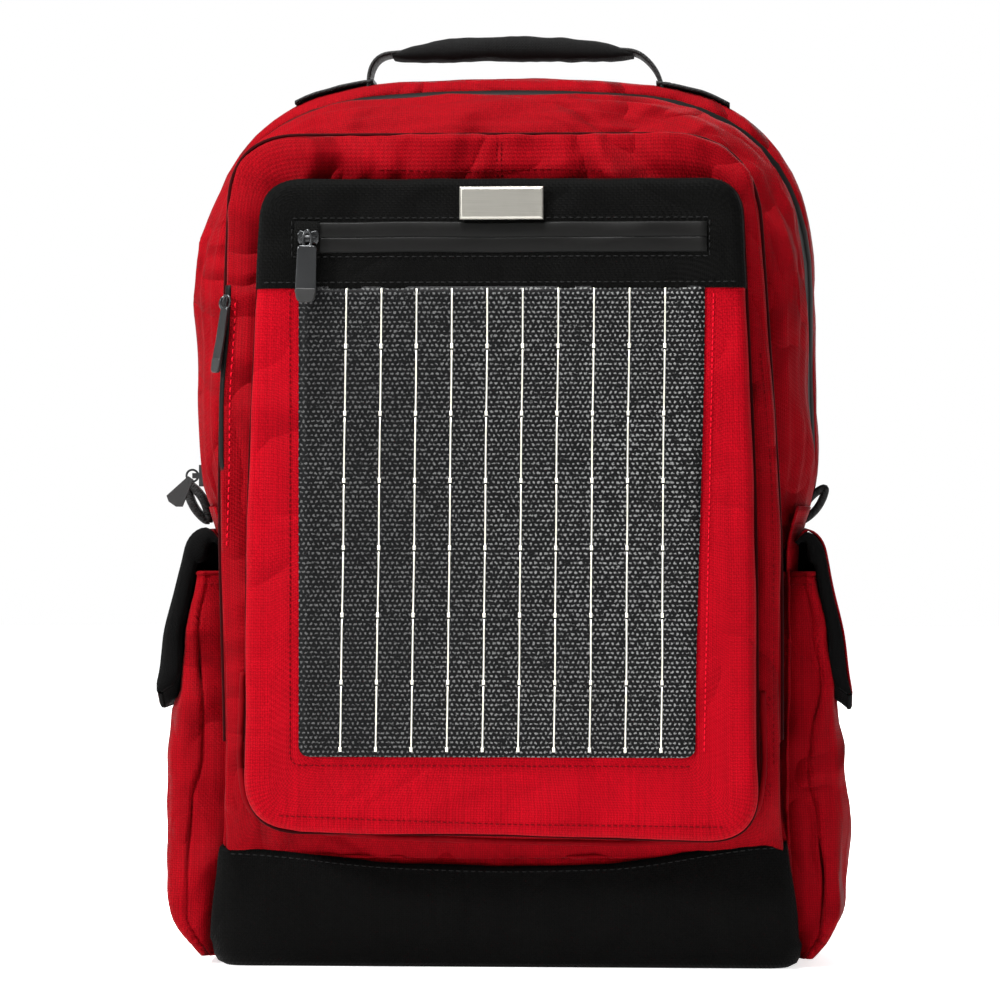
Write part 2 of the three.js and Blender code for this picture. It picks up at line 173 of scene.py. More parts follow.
def arch_line(inset, crown, low, count, inset_top=None):
    """The bag's outline as (x, z) points, from the lower right over the top to the lower left."""
    wide = HALF - inset
    base = HALF_BASE - inset
    top = crown - (inset if inset_top is None else inset_top)
    right = [(base, low, 0)]
    if low < WAIST - 20:
        right.append((base, WAIST - 12, 14))
    right.append((wide, WAIST + 26, 22))
    right.append((wide - 1, top - 5, max(10, 106 - inset)))
    left = [(-a, b, cut) for a, b, cut in reversed(right)]
    return rounded(right + [(0, top + 3, 50)] + left, count)


# Meshes ----------------------------------------------------------------------------------------


def shade_smooth(mesh):
    for polygon in mesh.polygons:
        polygon.use_smooth = True


def mesh_object(name, vertices, faces, material, uvs=None):
    """A smooth-shaded object from points in millimetres. uvs holds one (u, v) in metres per vertex."""
    mesh = bpy.data.meshes.new(name)
    mesh.from_pydata([Vector(v) * MM for v in vertices], [], faces)
    mesh.materials.append(material)
    shade_smooth(mesh)
    if uvs:
        layer = mesh.uv_layers.new(name="cloth")
        for loop in mesh.loops:
            layer.data[loop.index].uv = uvs[loop.vertex_index]
    made = bpy.data.objects.new(name, mesh)
    bpy.context.scene.collection.objects.link(made)
    return made


def surface(name, rows, material, closed=False, thickness=0.0):
    """A cloth surface through rows of points. The weave follows the rows and the columns."""
    count = len(rows[0])
    middle = rows[len(rows) // 2]
    across = [0.0]
    for a, b in zip(middle, middle[1:]):
        across.append(across[-1] + (Vector(b) - Vector(a)).length)
    up = [0.0]
    for a, b in zip(rows, rows[1:]):
        step = (Vector(b[count // 3]) - Vector(a[count // 3])).length
        up.append(up[-1] + step)
    vertices = [p for row in rows for p in row]
    uvs = [(across[i] * MM, up[r] * MM) for r in range(len(rows)) for i in range(count)]
    faces = []
    for r in range(len(rows) - 1):
        for i in range(count - 1):
            a = r * count + i
            faces.append((a, a + 1, a + 1 + count, a + count))
        if closed:
            a = r * count + count - 1
            faces.append((a, r * count, (r + 1) * count, a + count))
    made = mesh_object(name, vertices, faces, material, uvs)
    if thickness:
        add_thickness(made, thickness)
    return made


def add_thickness(obj, thickness, offset=0.0):
    solid = obj.modifiers.new("thickness", "SOLIDIFY")
    solid.thickness = thickness * MM
    solid.offset = offset
    solid.use_even_offset = False
    return obj


def close_ring(obj):
    """Joins the last column of a ring to its first, so that no line shows there."""
    shape = bmesh.new()
    shape.from_mesh(obj.data)
    bmesh.ops.remove_doubles(shape, verts=shape.verts[:], dist=0.01 * MM)
    shape.to_mesh(obj.data)
    shape.free()
    shade_smooth(obj.data)


def ruffle(obj, amount):
    """Moves each vertex along its normal by amount(point), both in millimetres."""
    normals = [v.normal.copy() for v in obj.data.vertices]
    for vertex, normal in zip(obj.data.vertices, normals):
        vertex.co += normal * (amount(vertex.co / MM) * MM)
    obj.data.update()
    return obj


def tube(name, points, radius, material, sides=8, flat=1.0, closed=False):
    """A round or flattened tube along points, with closed ends unless it is a loop."""
    points = [Vector(p) for p in points]
    vertices = []
    faces = []
    count = len(points)
    side = None
    for i, p in enumerate(points):
        after = points[(i + 1) % count] if closed else points[min(i + 1, count - 1)]
        before = points[i - 1] if closed or i else points[0]
        direction = (after - before).normalized()
        if side is None:
            helper = Vector((0, 0, 1)) if abs(direction.z) < 0.8 else Vector((0, 1, 0))
            side = direction.cross(helper)
        side = (side - direction * side.dot(direction)).normalized()
        other = direction.cross(side)
        for k in range(sides):
            a = 2 * math.pi * k / sides
            vertices.append(p + side * math.cos(a) * radius + other * math.sin(a) * radius * flat)
    for i in range(count if closed else count - 1):
        for k in range(sides):
            a = i * sides + k
            b = i * sides + (k + 1) % sides
            c = ((i + 1) % count) * sides + (k + 1) % sides
            d = ((i + 1) % count) * sides + k
            faces.append((a, b, c, d))
    if not closed:
        faces.append(tuple(reversed(range(sides))))
        faces.append(tuple(range((count - 1) * sides, count * sides)))
    return mesh_object(name, vertices, faces, material)


def ribbon(name, points, normals, width, thickness, material, bow=0.0):
    """A flat band along points, with rounded edges. Each normal points out of the band's face."""
    rows = []
    profile = [(-0.5, -0.3), (-0.5, 0.3), (-0.42, 0.5), (0, 0.5 + bow), (0.42, 0.5), (0.5, 0.3)]
    profile += [(0.5, -0.3), (0.42, -0.5), (0, -0.5), (-0.42, -0.5)]
    count = len(points)
    for i in range(count):
        p = Vector(points[i])
        direction = Vector(points[min(i + 1, count - 1)]) - Vector(points[max(i - 1, 0)])
        out = Vector(normals[i]).normalized()
        side = direction.cross(out).normalized()
        rows.append([p + side * a * width + out * b * thickness for a, b in profile])
    made = surface(name, rows, material, closed=True)
    size = len(profile)
    faces = bmesh.new()
    faces.from_mesh(made.data)
    faces.verts.ensure_lookup_table()
    for start in (0, (count - 1) * size):
        faces.faces.new([faces.verts[start + k] for k in range(size)])
    bmesh.ops.recalc_face_normals(faces, faces=faces.faces)
    faces.to_mesh(made.data)
    faces.free()
    return made


def apply_modifiers(obj):
    """Bakes an object's modifiers into its mesh."""
    graph = bpy.context.evaluated_depsgraph_get()
    mesh = bpy.data.meshes.new_from_object(obj.evaluated_get(graph))
    obj.modifiers.clear()
    obj.data = mesh
    return obj


def join(name, parts):
    """Joins objects into the first one, which takes the name."""
    with bpy.context.temp_override(active_object=parts[0], selected_editable_objects=parts):
        bpy.ops.object.join()
    parts[0].name = name
    return parts[0]


def stitches(name, line, material, out, length=2.6, gap=1.3, radius=0.34):
    """A row of separate stitches along a line. out is the direction that they stand proud in."""
    total = sum((b - a).length for a, b in zip(line, line[1:]))
    count = max(2, int(total / (length + gap)))
    spots = resample(line, count * 6 + 1)
    vertices = []
    faces = []
    out = Vector(out)
    for i in range(count):
        start = spots[i * 6]
        end = spots[i * 6 + 4]
        direction = (end - start).normalized()
        side = direction.cross(out).normalized()
        first = len(vertices)
        for t, lift, size in ((0, -0.25, 0.5), (0.25, 0.2, 1), (0.75, 0.2, 1), (1, -0.25, 0.5)):
            middle = start.lerp(end, t) + out * (lift * radius * 2)
            for k in range(5):
                a = 2 * math.pi * k / 5
                ring = side * math.cos(a) + out * math.sin(a)
                vertices.append(middle + ring * (radius * size))
        for r in range(3):
            for k in range(5):
                a = first + r * 5 + k
                b = first + r * 5 + (k + 1) % 5
                faces.append((a, b, b + 5, a + 5))
    return mesh_object(name, vertices, faces, material)


def finder(*objects):
    """Looks up points on the objects' surfaces from a direction."""
    trees = []
    graph = bpy.context.evaluated_depsgraph_get()
    for obj in objects:
        trees.append(BVHTree.FromObject(obj, graph))

    def find(point, direction, lift=0.0):
        """The first surface met from far away along direction, lifted back towards the viewer."""
        direction = Vector(direction).normalized()
        start = Vector(point) * MM - direction * 0.6
        best = None
        for tree in trees:
            hit, _, _, distance = tree.ray_cast(start, direction)
            if hit and (best is None or distance < best[1]):
                best = (hit, distance)
        if best is None:
            return Vector(point)
        return best[0] / MM - direction * lift

    return find


def place(obj, body, slot, *nodes):
    """Puts a piece on its body, in place of the CAD nodes. slot is not used."""
    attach(obj, body)
    if nodes:
        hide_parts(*nodes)
    return obj


def spread(obj, bodies, start, end, slot, *nodes):
    """Bakes a piece's placing into its mesh, in place of the CAD nodes. bodies, start and end are not used.
    """
    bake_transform(obj)
    if nodes:
        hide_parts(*nodes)
    return obj


# Materials -------------------------------------------------------------------------------------


def new_material(name):
    material = bpy.data.materials.new(name)
    material.use_nodes = True
    tree = material.node_tree
    return material, tree, tree.nodes["Principled BSDF"]


def node(tree, kind, inputs=None, **settings):
    """Adds a node. An input is a number, a colour or another node's output."""
    made = tree.nodes.new("ShaderNode" + kind)
    for key, value in settings.items():
        setattr(made, key, value)
    for key, value in (inputs or {}).items():
        if isinstance(value, bpy.types.NodeSocket):
            tree.links.new(value, made.inputs[key])
        else:
            made.inputs[key].default_value = value
    return made


def calc(tree, operation, a, b=0.0, clamp=False):
    return node(tree, "Math", {0: a, 1: b}, operation=operation, use_clamp=clamp).outputs[0]


def fit(tree, value, factor, offset):
    """value times factor plus offset."""
    result = calc(tree, "MULTIPLY_ADD", value, factor)
    result.node.inputs[2].default_value = offset
    return result


def ramp(tree, value, low, high, low_color, high_color):
    """A colour that changes from one to the other as value goes from low to high."""
    made = node(tree, "ValToRGB", {"Fac": value})
    made.color_ramp.elements[0].position = low
    made.color_ramp.elements[0].color = (*low_color, 1)
    made.color_ramp.elements[1].position = high
    made.color_ramp.elements[1].color = (*high_color, 1)
    return made.outputs["Color"]


def fabric(
    name, color, pitch=1.25, roughness=0.7, sheen=0.006, contrast=0.42, strength=0.5, blotch=0.16,
    crease=0.0,
):
    """Woven cloth: over-and-under threads of the given pitch in millimetres, with uneven yarn and dye."""
    material, tree, shader = new_material(name)
    coords = node(tree, "TexCoord")
    uv = coords.outputs["UV"]
    scale = WAVE / (pitch * MM)
    warp = node(tree, "TexWave", {"Vector": uv, "Scale": scale}, bands_direction="X").outputs["Fac"]
    weft = node(tree, "TexWave", {"Vector": uv, "Scale": scale}, bands_direction="Y").outputs["Fac"]
    over = node(tree, "TexChecker", {"Vector": uv, "Scale": 1 / (pitch * MM)}).outputs["Fac"]
    height = node(tree, "Mix", {0: over, 2: warp, 3: weft}).outputs[0]
    # Uneven yarns show as short streaks along both thread directions.
    streaks = []
    for stretch in ((900, 60, 1), (60, 900, 1)):
        place_uv = node(tree, "Mapping", {"Vector": uv, "Scale": stretch}).outputs["Vector"]
        streaks.append(
            node(tree, "TexNoise", {"Vector": place_uv, "Scale": 1.0, "Detail": 2.0}).outputs["Fac"]
        )
    yarn = calc(tree, "MULTIPLY", calc(tree, "ADD", streaks[0], streaks[1]), 0.5)
    cloudy = node(
        tree, "TexNoise", {"Vector": coords.outputs["Object"], "Scale": 22.0, "Detail": 3.0}
    ).outputs["Fac"]
    # Darker where the threads dip under each other: painted shade in the weave's hollows.
    shade = fit(tree, height, contrast, 1.0 - contrast * 0.7)
    yarn_shade = fit(tree, yarn, 0.3, 0.85)
    cloud_shade = fit(tree, cloudy, blotch * 2, 1.0 - blotch)
    total = calc(tree, "MULTIPLY", calc(tree, "MULTIPLY", shade, yarn_shade), cloud_shade)
    grain_place = node(
        tree, "Mapping", {"Vector": coords.outputs["Object"], "Scale": (950, 500, 7)}
    ).outputs["Vector"]
    grain = node(tree, "TexNoise", {"Vector": grain_place, "Scale": 1.0, "Detail": 1.0}).outputs["Fac"]
    grain_shade = fit(tree, grain, 0.5, 0.75)
    total = calc(tree, "MULTIPLY", total, grain_shade)
    tint = node(tree, "MixRGB", {0: 1.0, 1: (*color, 1), 2: total}, blend_type="MULTIPLY").outputs[0]
    tree.links.new(tint, shader.inputs["Base Color"])
    bumps = calc(tree, "ADD", height, calc(tree, "MULTIPLY", yarn, 0.8))
    bump = node(tree, "Bump", {"Height": bumps, "Strength": strength, "Distance": 0.00035})
    if crease:
        # Soft rumples with sharp ridges, as crumpled cloth keeps them.
        rumple = node(
            tree, "TexNoise",
            {"Vector": coords.outputs["Object"], "Scale": 13.0, "Detail": 1.5, "Distortion": 0.9},
        )
        ridge = calc(tree, "ABSOLUTE", calc(tree, "SUBTRACT", rumple.outputs["Fac"], 0.5))
        folded = node(tree, "Bump", {"Height": ridge, "Strength": 1.0, "Distance": crease * MM})
        tree.links.new(folded.outputs["Normal"], bump.inputs["Normal"])
    tree.links.new(bump.outputs["Normal"], shader.inputs["Normal"])
    rough = fit(tree, yarn, 0.2, roughness - 0.1)
    tree.links.new(rough, shader.inputs["Roughness"])
    shader.inputs["Sheen Weight"].default_value = sheen
    shader.inputs["Sheen Roughness"].default_value = 0.45
    shader.inputs["Specular IOR Level"].default_value = 0.022
    return material


def webbing_material(name, color):
    """Ribbed webbing: herringbone ribs across the band."""
    material, tree, shader = new_material(name)
    uv = node(tree, "TexCoord").outputs["UV"]
    ribs = node(
        tree, "TexWave", {"Vector": uv, "Scale": WAVE / 0.0012}, bands_direction="Y"
    ).outputs["Fac"]
    slant = node(
        tree, "TexWave", {"Vector": uv, "Scale": WAVE / 0.0016}, bands_direction="DIAGONAL"
    ).outputs["Fac"]
    height = calc(tree, "MULTIPLY", calc(tree, "ADD", ribs, slant), 0.5)
    # Darker in the hollows between the ribs and lighter on their crests: painted shade and painted highlight.
    tint = ramp(tree, height, 0.1, 0.9, [c * 0.6 for c in color], [c * 1.6 for c in color])
    tree.links.new(tint, shader.inputs["Base Color"])
    bump = node(tree, "Bump", {"Height": height, "Strength": 0.6, "Distance": 0.0004})
    tree.links.new(bump.outputs["Normal"], shader.inputs["Normal"])
    shader.inputs["Roughness"].default_value = 0.62
    shader.inputs["Specular IOR Level"].default_value = 0.15
    return material


def mesh_fabric(name, color):
    """Spacer mesh: a honeycomb of small holes, painted darker inside as painted shade."""
    material, tree, shader = new_material(name)
    coords = node(tree, "TexCoord").outputs["Object"]
    cells = node(tree, "TexVoronoi", {"Vector": coords, "Scale": 330.0, "Randomness": 0.25}, feature="F1")
    # The holes are painted at a quarter of the mesh's colour: painted shade inside them.
    hole = calc(tree, "LESS_THAN", cells.outputs["Distance"], 0.34)
    tint = node(tree, "MixRGB", {0: hole, 1: (*color, 1), 2: (*[c * 0.25 for c in color], 1)}).outputs[0]
    tree.links.new(tint, shader.inputs["Base Color"])
    bump = node(tree, "Bump", {"Height": cells.outputs["Distance"], "Strength": 0.8, "Distance": 0.0008})
    tree.links.new(bump.outputs["Normal"], shader.inputs["Normal"])
    shader.inputs["Roughness"].default_value = 0.85
    shader.inputs["Specular IOR Level"].default_value = 0.15
    return material


def solid_material(
    name, color, roughness, metallic=0.0, coat=0.0, grain=700.0, bump_strength=0.08, gloss=0.25
):
    """Moulded plastic, rubber or painted metal with a fine grain and slight wear in its gloss."""
    material, tree, shader = new_material(name)
    coords = node(tree, "TexCoord").outputs["Object"]
    fine = node(tree, "TexNoise", {"Vector": coords, "Scale": grain, "Detail": 3.0}).outputs["Fac"]
    broad = node(tree, "TexNoise", {"Vector": coords, "Scale": 45.0, "Detail": 4.0}).outputs["Fac"]
    tint = ramp(tree, broad, 0.3, 0.75, [c * 0.9 for c in color], [min(1, c * 1.1) for c in color])
    tree.links.new(tint, shader.inputs["Base Color"])
    rough = fit(tree, broad, 0.2, roughness - 0.1)
    tree.links.new(rough, shader.inputs["Roughness"])
    bump = node(tree, "Bump", {"Height": fine, "Strength": bump_strength, "Distance": 0.0002})
    tree.links.new(bump.outputs["Normal"], shader.inputs["Normal"])
    shader.inputs["Metallic"].default_value = metallic
    shader.inputs["Coat Weight"].default_value = coat
    shader.inputs["Specular IOR Level"].default_value = gloss
    return material


def brushed_material(name, color):
    """Satin metal with fine lines along its length."""
    material, tree, shader = new_material(name)
    coords = node(tree, "TexCoord").outputs["Object"]
    lined = node(tree, "Mapping", {"Vector": coords, "Scale": (30, 30, 2500)}).outputs["Vector"]
    lines = node(tree, "TexNoise", {"Vector": lined, "Scale": 1.0, "Detail": 3.0}).outputs["Fac"]
    tint = ramp(tree, lines, 0.3, 0.7, [c * 0.86 for c in color], color)
    tree.links.new(tint, shader.inputs["Base Color"])
    bump = node(tree, "Bump", {"Height": lines, "Strength": 0.12, "Distance": 0.0001})
    tree.links.new(bump.outputs["Normal"], shader.inputs["Normal"])
    shader.inputs["Metallic"].default_value = 0.85
    shader.inputs["Roughness"].default_value = 0.36
    return material


def laminate_material(name):
    """The solar laminate: near-black cells in seven rows under a film with staggered pale dots. The dots are
    painted brighter towards the right as painted glare.
    """
    material, tree, shader = new_material(name)
    coords = node(tree, "TexCoord").outputs["Object"]
    place_of = node(tree, "SeparateXYZ", {"Vector": coords})
    x = place_of.outputs["X"]
    z = place_of.outputs["Z"]
    column = calc(tree, "DIVIDE", x, 2.62 * MM)
    row = calc(tree, "DIVIDE", z, 2.5 * MM)
    odd = calc(tree, "MODULO", calc(tree, "FLOOR", row), 2.0)
    shifted = calc(tree, "ADD", column, calc(tree, "MULTIPLY", odd, 0.5))
    jitter = node(tree, "TexNoise", {"Vector": coords, "Scale": 900.0, "Detail": 1.0}).outputs["Fac"]
    dx = calc(tree, "SUBTRACT", calc(tree, "FRACT", calc(tree, "ADD", shifted, 100.0)), 0.5)
    dz = calc(tree, "SUBTRACT", calc(tree, "FRACT", row), 0.5)
    across = calc(tree, "MULTIPLY", dx, 0.85)
    reach = calc(
        tree, "SQRT",
        calc(tree, "ADD", calc(tree, "MULTIPLY", across, across), calc(tree, "MULTIPLY", dz, dz)),
    )
    edge = calc(tree, "ADD", reach, calc(tree, "MULTIPLY", calc(tree, "SUBTRACT", jitter, 0.5), 0.85))
    dot = node(
        tree, "MapRange", {"Value": edge, "From Min": 0.3, "From Max": 0.1}, interpolation_type="SMOOTHSTEP"
    )
    patch = node(tree, "TexNoise", {"Vector": coords, "Scale": 14.0, "Detail": 2.0}).outputs["Fac"]
    # The dots brighten from left to right: painted glare.
    painted_glare = node(
        tree, "MapRange", {"Value": x, "From Min": -0.11, "From Max": 0.11, "To Min": 0.12, "To Max": 0.4}
    )
    level = calc(tree, "MULTIPLY", painted_glare.outputs[0], calc(tree, "ADD", patch, 0.5))
    bright = calc(tree, "MULTIPLY", dot.outputs[0], level)
    tint = node(
        tree, "MixRGB", {0: bright, 1: (0.0022, 0.0022, 0.0024, 1), 2: (0.3, 0.3, 0.3, 1)}
    ).outputs[0]
    tree.links.new(tint, shader.inputs["Base Color"])
    bump = node(tree, "Bump", {"Height": dot.outputs[0], "Strength": 0.5, "Distance": 0.0003})
    tree.links.new(bump.outputs["Normal"], shader.inputs["Normal"])
    shader.inputs["Roughness"].default_value = 0.5
    shader.inputs["Specular IOR Level"].default_value = 0.05
    return material


RED = fabric("red_cloth", (0.185, 0.0002, 0.0032), crease=14)
# The same red cloth as RED, painted darker as painted shade. It is used for all red cloth except the solar
# pocket.
RED_CLOTH_SHADED = fabric("red_cloth_painted_shade", (0.13, 0.0001, 0.002), crease=40)
# Lit and shaded copies of one red thread: the bright one is a painted highlight and the dark one is painted
# shade.
THREAD_PAINTED_HIGHLIGHT = fabric("red_thread", (0.62, 0.004, 0.016), pitch=0.5)
THREAD_PAINTED_SHADE = fabric("red_thread_painted_shade", (0.1, 0.0003, 0.002), pitch=0.5)
# Near-black red for thin tubes along the pockets' edges that stand for their shadow: a painted shadow.
PAINTED_SHADOW_LINE = fabric("red_painted_shadow", (0.018, 0.0001, 0.0004), pitch=0.5)
BLACK = fabric("black_cloth", (0.0012, 0.0012, 0.0011), contrast=0.7, crease=8)
BLACK_THREAD = fabric("black_thread", (0.012, 0.012, 0.012), pitch=0.5)
LINING = fabric("black_lining", (0.0014, 0.0014, 0.0014), pitch=0.7)
GRIP_CLOTH = fabric("grip_cloth", (0.006, 0.006, 0.006), pitch=0.9)
MESH = mesh_fabric("spacer_mesh", (0.016, 0.016, 0.017))
WEB = webbing_material("black_webbing", (0.006, 0.006, 0.006))
TAPE = solid_material(
    "coated_tape", (0.0035, 0.0035, 0.0033), 0.5, grain=1500, bump_strength=0.12, gloss=0.06
)
METAL = solid_material("slider_paint", (0.03, 0.031, 0.032), 0.3, metallic=0.8, coat=0.1)
RUBBER = solid_material("fob_rubber", (0.008, 0.008, 0.008), 0.55)
PLASTIC = solid_material("buckle_plastic", (0.009, 0.009, 0.009), 0.45, bump_strength=0.15)
SHEET = solid_material("stiffener_sheet", (0.05, 0.05, 0.05), 0.5)
SILVER = brushed_material("plate_metal", (0.29, 0.28, 0.25))
LAMINATE = laminate_material("solar_laminate")
RIBBON = solid_material("tinned_ribbon", (0.5, 0.49, 0.42), 0.35, metallic=0.3)
BACKING = solid_material("laminate_backing", (0.03, 0.03, 0.035), 0.55)
BOARD = solid_material("green_board", (0.02, 0.15, 0.06), 0.45)
PORT = brushed_material("port_shell", (0.75, 0.75, 0.77))

# Camera and light ------------------------------------------------------------------------------

VIEW_AZIMUTH = math.radians(3)
VIEW_DISTANCE = 2200
VIEW_TARGET = Vector((-1, SOLAR[0].y + 6, 252))
VIEW_WIDTH = 530  # what the picture spans at the target, in millimetres


def make_camera():
    data = bpy.data.cameras.new("camera")
    data.sensor_width = 36
    data.lens = 36 * VIEW_DISTANCE / VIEW_WIDTH
    data.clip_start = 0.1
    data.clip_end = 50
    camera = bpy.data.objects.new("camera", data)
    back = Vector((math.sin(VIEW_AZIMUTH), -math.cos(VIEW_AZIMUTH), 0))
    camera.location = (VIEW_TARGET + back * VIEW_DISTANCE) * MM
    camera.rotation_euler = (math.pi / 2, 0, VIEW_AZIMUTH)
    bpy.context.scene.collection.objects.link(camera)
    bpy.context.scene.camera = camera


def area_light(name, location, size, power):
    data = bpy.data.lights.new(name, "AREA")
    data.shape = "DISK"
    data.size = size
    data.energy = power
    light = bpy.data.objects.new(name, data)
    light.location = location
    aim = Vector((0, 0, 0.25)) - Vector(location)
    light.rotation_euler = aim.to_track_quat("-Z", "Y").to_euler()
    bpy.context.scene.collection.objects.link(light)


def make_studio():
    """Soft lamps in front and above, a pale horizon all round and a dimmer sky, over a plain pale floor."""
    area_light("key", (-2.1, -1.5, 1.6), 0.5, 138)
    area_light("fill", (1.9, -2.4, 1.0), 1.5, 8)
    area_light("top", (-0.3, -0.6, 2.3), 0.7, 128)
    area_light("back", (0.6, 2.6, 1.5), 1.8, 40)
    world = bpy.data.worlds.new("studio")
    world.use_nodes = True
    tree = world.node_tree
    direction = node(tree, "TexCoord").outputs["Generated"]
    height = calc(tree, "ABSOLUTE", node(tree, "SeparateXYZ", {"Vector": direction}).outputs["Z"])
    sky = node(
        tree,
        "MapRange",
        {"Value": height, "From Min": 0.12, "From Max": 0.4, "To Min": 1.0, "To Max": 0.22},
        interpolation_type="SMOOTHSTEP",
    )
    sideways = node(tree, "SeparateXYZ", {"Vector": direction}).outputs["Y"]
    behind = node(
        tree, "MapRange",
        {"Value": sideways, "From Min": -0.6, "From Max": 0.4, "To Min": 0.45, "To Max": 1.0},
    )
    level = calc(tree, "MULTIPLY", sky.outputs[0], behind.outputs[0])
    background = tree.nodes["Background"]
    background.inputs["Color"].default_value = (1, 1, 1, 1)
    tree.links.new(level, background.inputs["Strength"])
    bpy.context.scene.world = world
    floor, tree, shader = new_material("floor")
    grain = node(tree, "TexNoise", {"Scale": 40.0})
    tint = ramp(tree, grain.outputs["Fac"], 0.3, 0.7, (0.9, 0.9, 0.9), (0.94, 0.94, 0.94))
    tree.links.new(tint, shader.inputs["Base Color"])
    shader.inputs["Roughness"].default_value = 0.8
    shader.inputs["Emission Color"].default_value = (1, 1, 1, 1)
    shader.inputs["Emission Strength"].default_value = FLOOR_GLOW
    corners = [(a * FLOOR_HALF, b * FLOOR_HALF, 0) for a, b in ((-1, -1), (1, -1), (1, 1), (-1, 1))]
    mesh_object("floor", corners, [(0, 1, 2, 3)], floor)


# Main body -------------------------------------------------------------------------------------

ARCH_POINTS = 181
LEAN_REAR = -2.5  # the full bag leans a little to its left above the waist, the front half more than the rear
LEAN_FRONT = -4.5


def arch_rows(stations, low, shift=0.0):
    """Rows of points along the arch, one row for each (y, inset, crown) station."""
    rows = []
    for y, inset, crown in stations:
        line = arch_line(inset, crown, low, ARCH_POINTS)
        rows.append([Vector((p.x + shift * smooth(WAIST, WAIST + 120, p.y), y, p.y)) for p in line])
    return rows


def between(stations, count):
    """Fills in rows between the stations, evenly in depth."""
    first = stations[0][0]
    last = stations[-1][0]
    insets = [(y, inset) for y, inset, crown in stations]
    crowns = [(y, crown) for y, inset, crown in stations]
    made = []
    for i in range(count):
        y = mix(first, last, i / (count - 1))
        made.append((y, along(insets, y), along(crowns, y)))
    return made


def make_rear_shell():
    """Red cloth round the sides and the top, from the zip to the back panel."""
    start = box("main_zip_tape_rear")[1].y
    stations = between(
        [
            (start - 1.5, 3.5, ZIP_CROWN + 3.5),
            (start, 1.0, ZIP_CROWN + 4.5),
            (start + 6, 0.0, ZIP_CROWN + 7),
            (start + 16, -0.5, CROWN + 0.5),
            (start + 36, -0.5, CROWN + 1.5),
            (start + 52, 1.5, CROWN),
            (BACK[0].y + 4, 5.0, CROWN - 1),
        ],
        26,
    )
    shell = surface("rear_shell", arch_rows(stations, 4, LEAN_REAR), RED_CLOTH_SHADED, thickness=1.6)

    def folds(p):
        near = smooth(start, start + 8, p.y) * (1 - smooth(BACK[0].y - 4, BACK[0].y + 2, p.y))
        return near * (1.3 * wander(p, 50, 1) + 0.6 * wander(p, 20, 2) + 0.5 * crinkle(p, 34, 3))

    ruffle(shell, folds)
    place(shell, "bag", "red_fabric", "rear_gusset")
    edge = [Vector((p.x, BACK[0].y + 5, p.y)) for p in arch_line(4.5, CROWN, 4, 150)]
    place(tube("back_piping", edge, 2.2, BLACK), "bag", "black_fabric")
    return shell


def make_back_face():
    """The panel against the wearer's back, inside the piping."""
    outline = arch_line(5, CROWN, 5, 161)
    middle = Vector((0, 240))
    rows = []
    for scale, rise in ((1.0, -4), (0.99, -0.5), (0.97, 1.2), (0.9, 1.6)):
        rows.append(
            [Vector((p.x * scale, BACK[1].y + rise, middle.y + (p.y - middle.y) * scale)) for p in outline]
        )
    for k in range(1, 18):
        scale = 0.9 * (1 - k / 18)
        rows.append(
            [Vector((p.x * scale, BACK[1].y + 1.6, middle.y + (p.y - middle.y) * scale)) for p in outline]
        )
    panel = surface("back_face", rows, BLACK, thickness=2)
    ruffle(panel, lambda p: 0.7 * wander(p, 40, 5))
    place(panel, "bag", "black_fabric", "back_panel")


def swell(obj, cap, voxel=5.0, force=4.0):
    """Pads a closed piece: a short cloth simulation blows it up, and no point moves further than cap."""
    remesh = obj.modifiers.new("remesh", "REMESH")
    remesh.mode = "VOXEL"
    remesh.voxel_size = voxel * MM
    apply_modifiers(obj)
    before = [v.co.copy() for v in obj.data.vertices]
    cloth = obj.modifiers.new("cloth", "CLOTH")
    cloth.settings.use_pressure = True
    cloth.settings.uniform_pressure_force = force
    cloth.settings.effector_weights.gravity = 0
    cloth.point_cache.frame_start = 1
    cloth.point_cache.frame_end = CLOTH_FRAMES
    for frame_number in range(1, CLOTH_FRAMES + 1):
        bpy.context.scene.frame_set(frame_number)
    apply_modifiers(obj)
    for vertex, start in zip(obj.data.vertices, before):
        moved = vertex.co - start
        if moved.length > cap * MM:
            vertex.co = start + moved * (cap * MM / moved.length)
    bpy.context.scene.frame_set(1)
    finer = obj.modifiers.new("finer", "SUBSURF")
    finer.levels = 1
    apply_modifiers(obj)
    shade_smooth(obj.data)
    return obj


def capped(rows):
    """Adds a nearly closed ring to both ends of a tube of rows."""
    ends = []
    for row in (rows[0], rows[-1]):
        middle = sum(row, Vector()) / len(row)
        ends.append([middle.lerp(p, 0.02) for p in row])
    return [ends[0]] + rows + [ends[1]]


def slab(name, outline, base, top, material):
    """A closed pad with rounded edges. outline is a closed (x, z) line, base and top are depths."""
    middle = sum(outline, Vector((0, 0))) / len(outline)
    rows = []
    thick = top - base
    for scale, t in (
        (0.02, 0), (0.5, 0), (0.97, 0), (1.0, 0.3), (1.0, 0.62), (0.96, 0.9), (0.85, 1.0), (0.5, 1.02),
        (0.02, 1.02),
    ):
        rows.append(
            [
                Vector(
                    (
                        middle.x + (p.x - middle.x) * scale, base + thick * t,
                        middle.y + (p.y - middle.y) * scale,
                    )
                )
                for p in outline
            ]
        )
    return surface(name, rows, material)


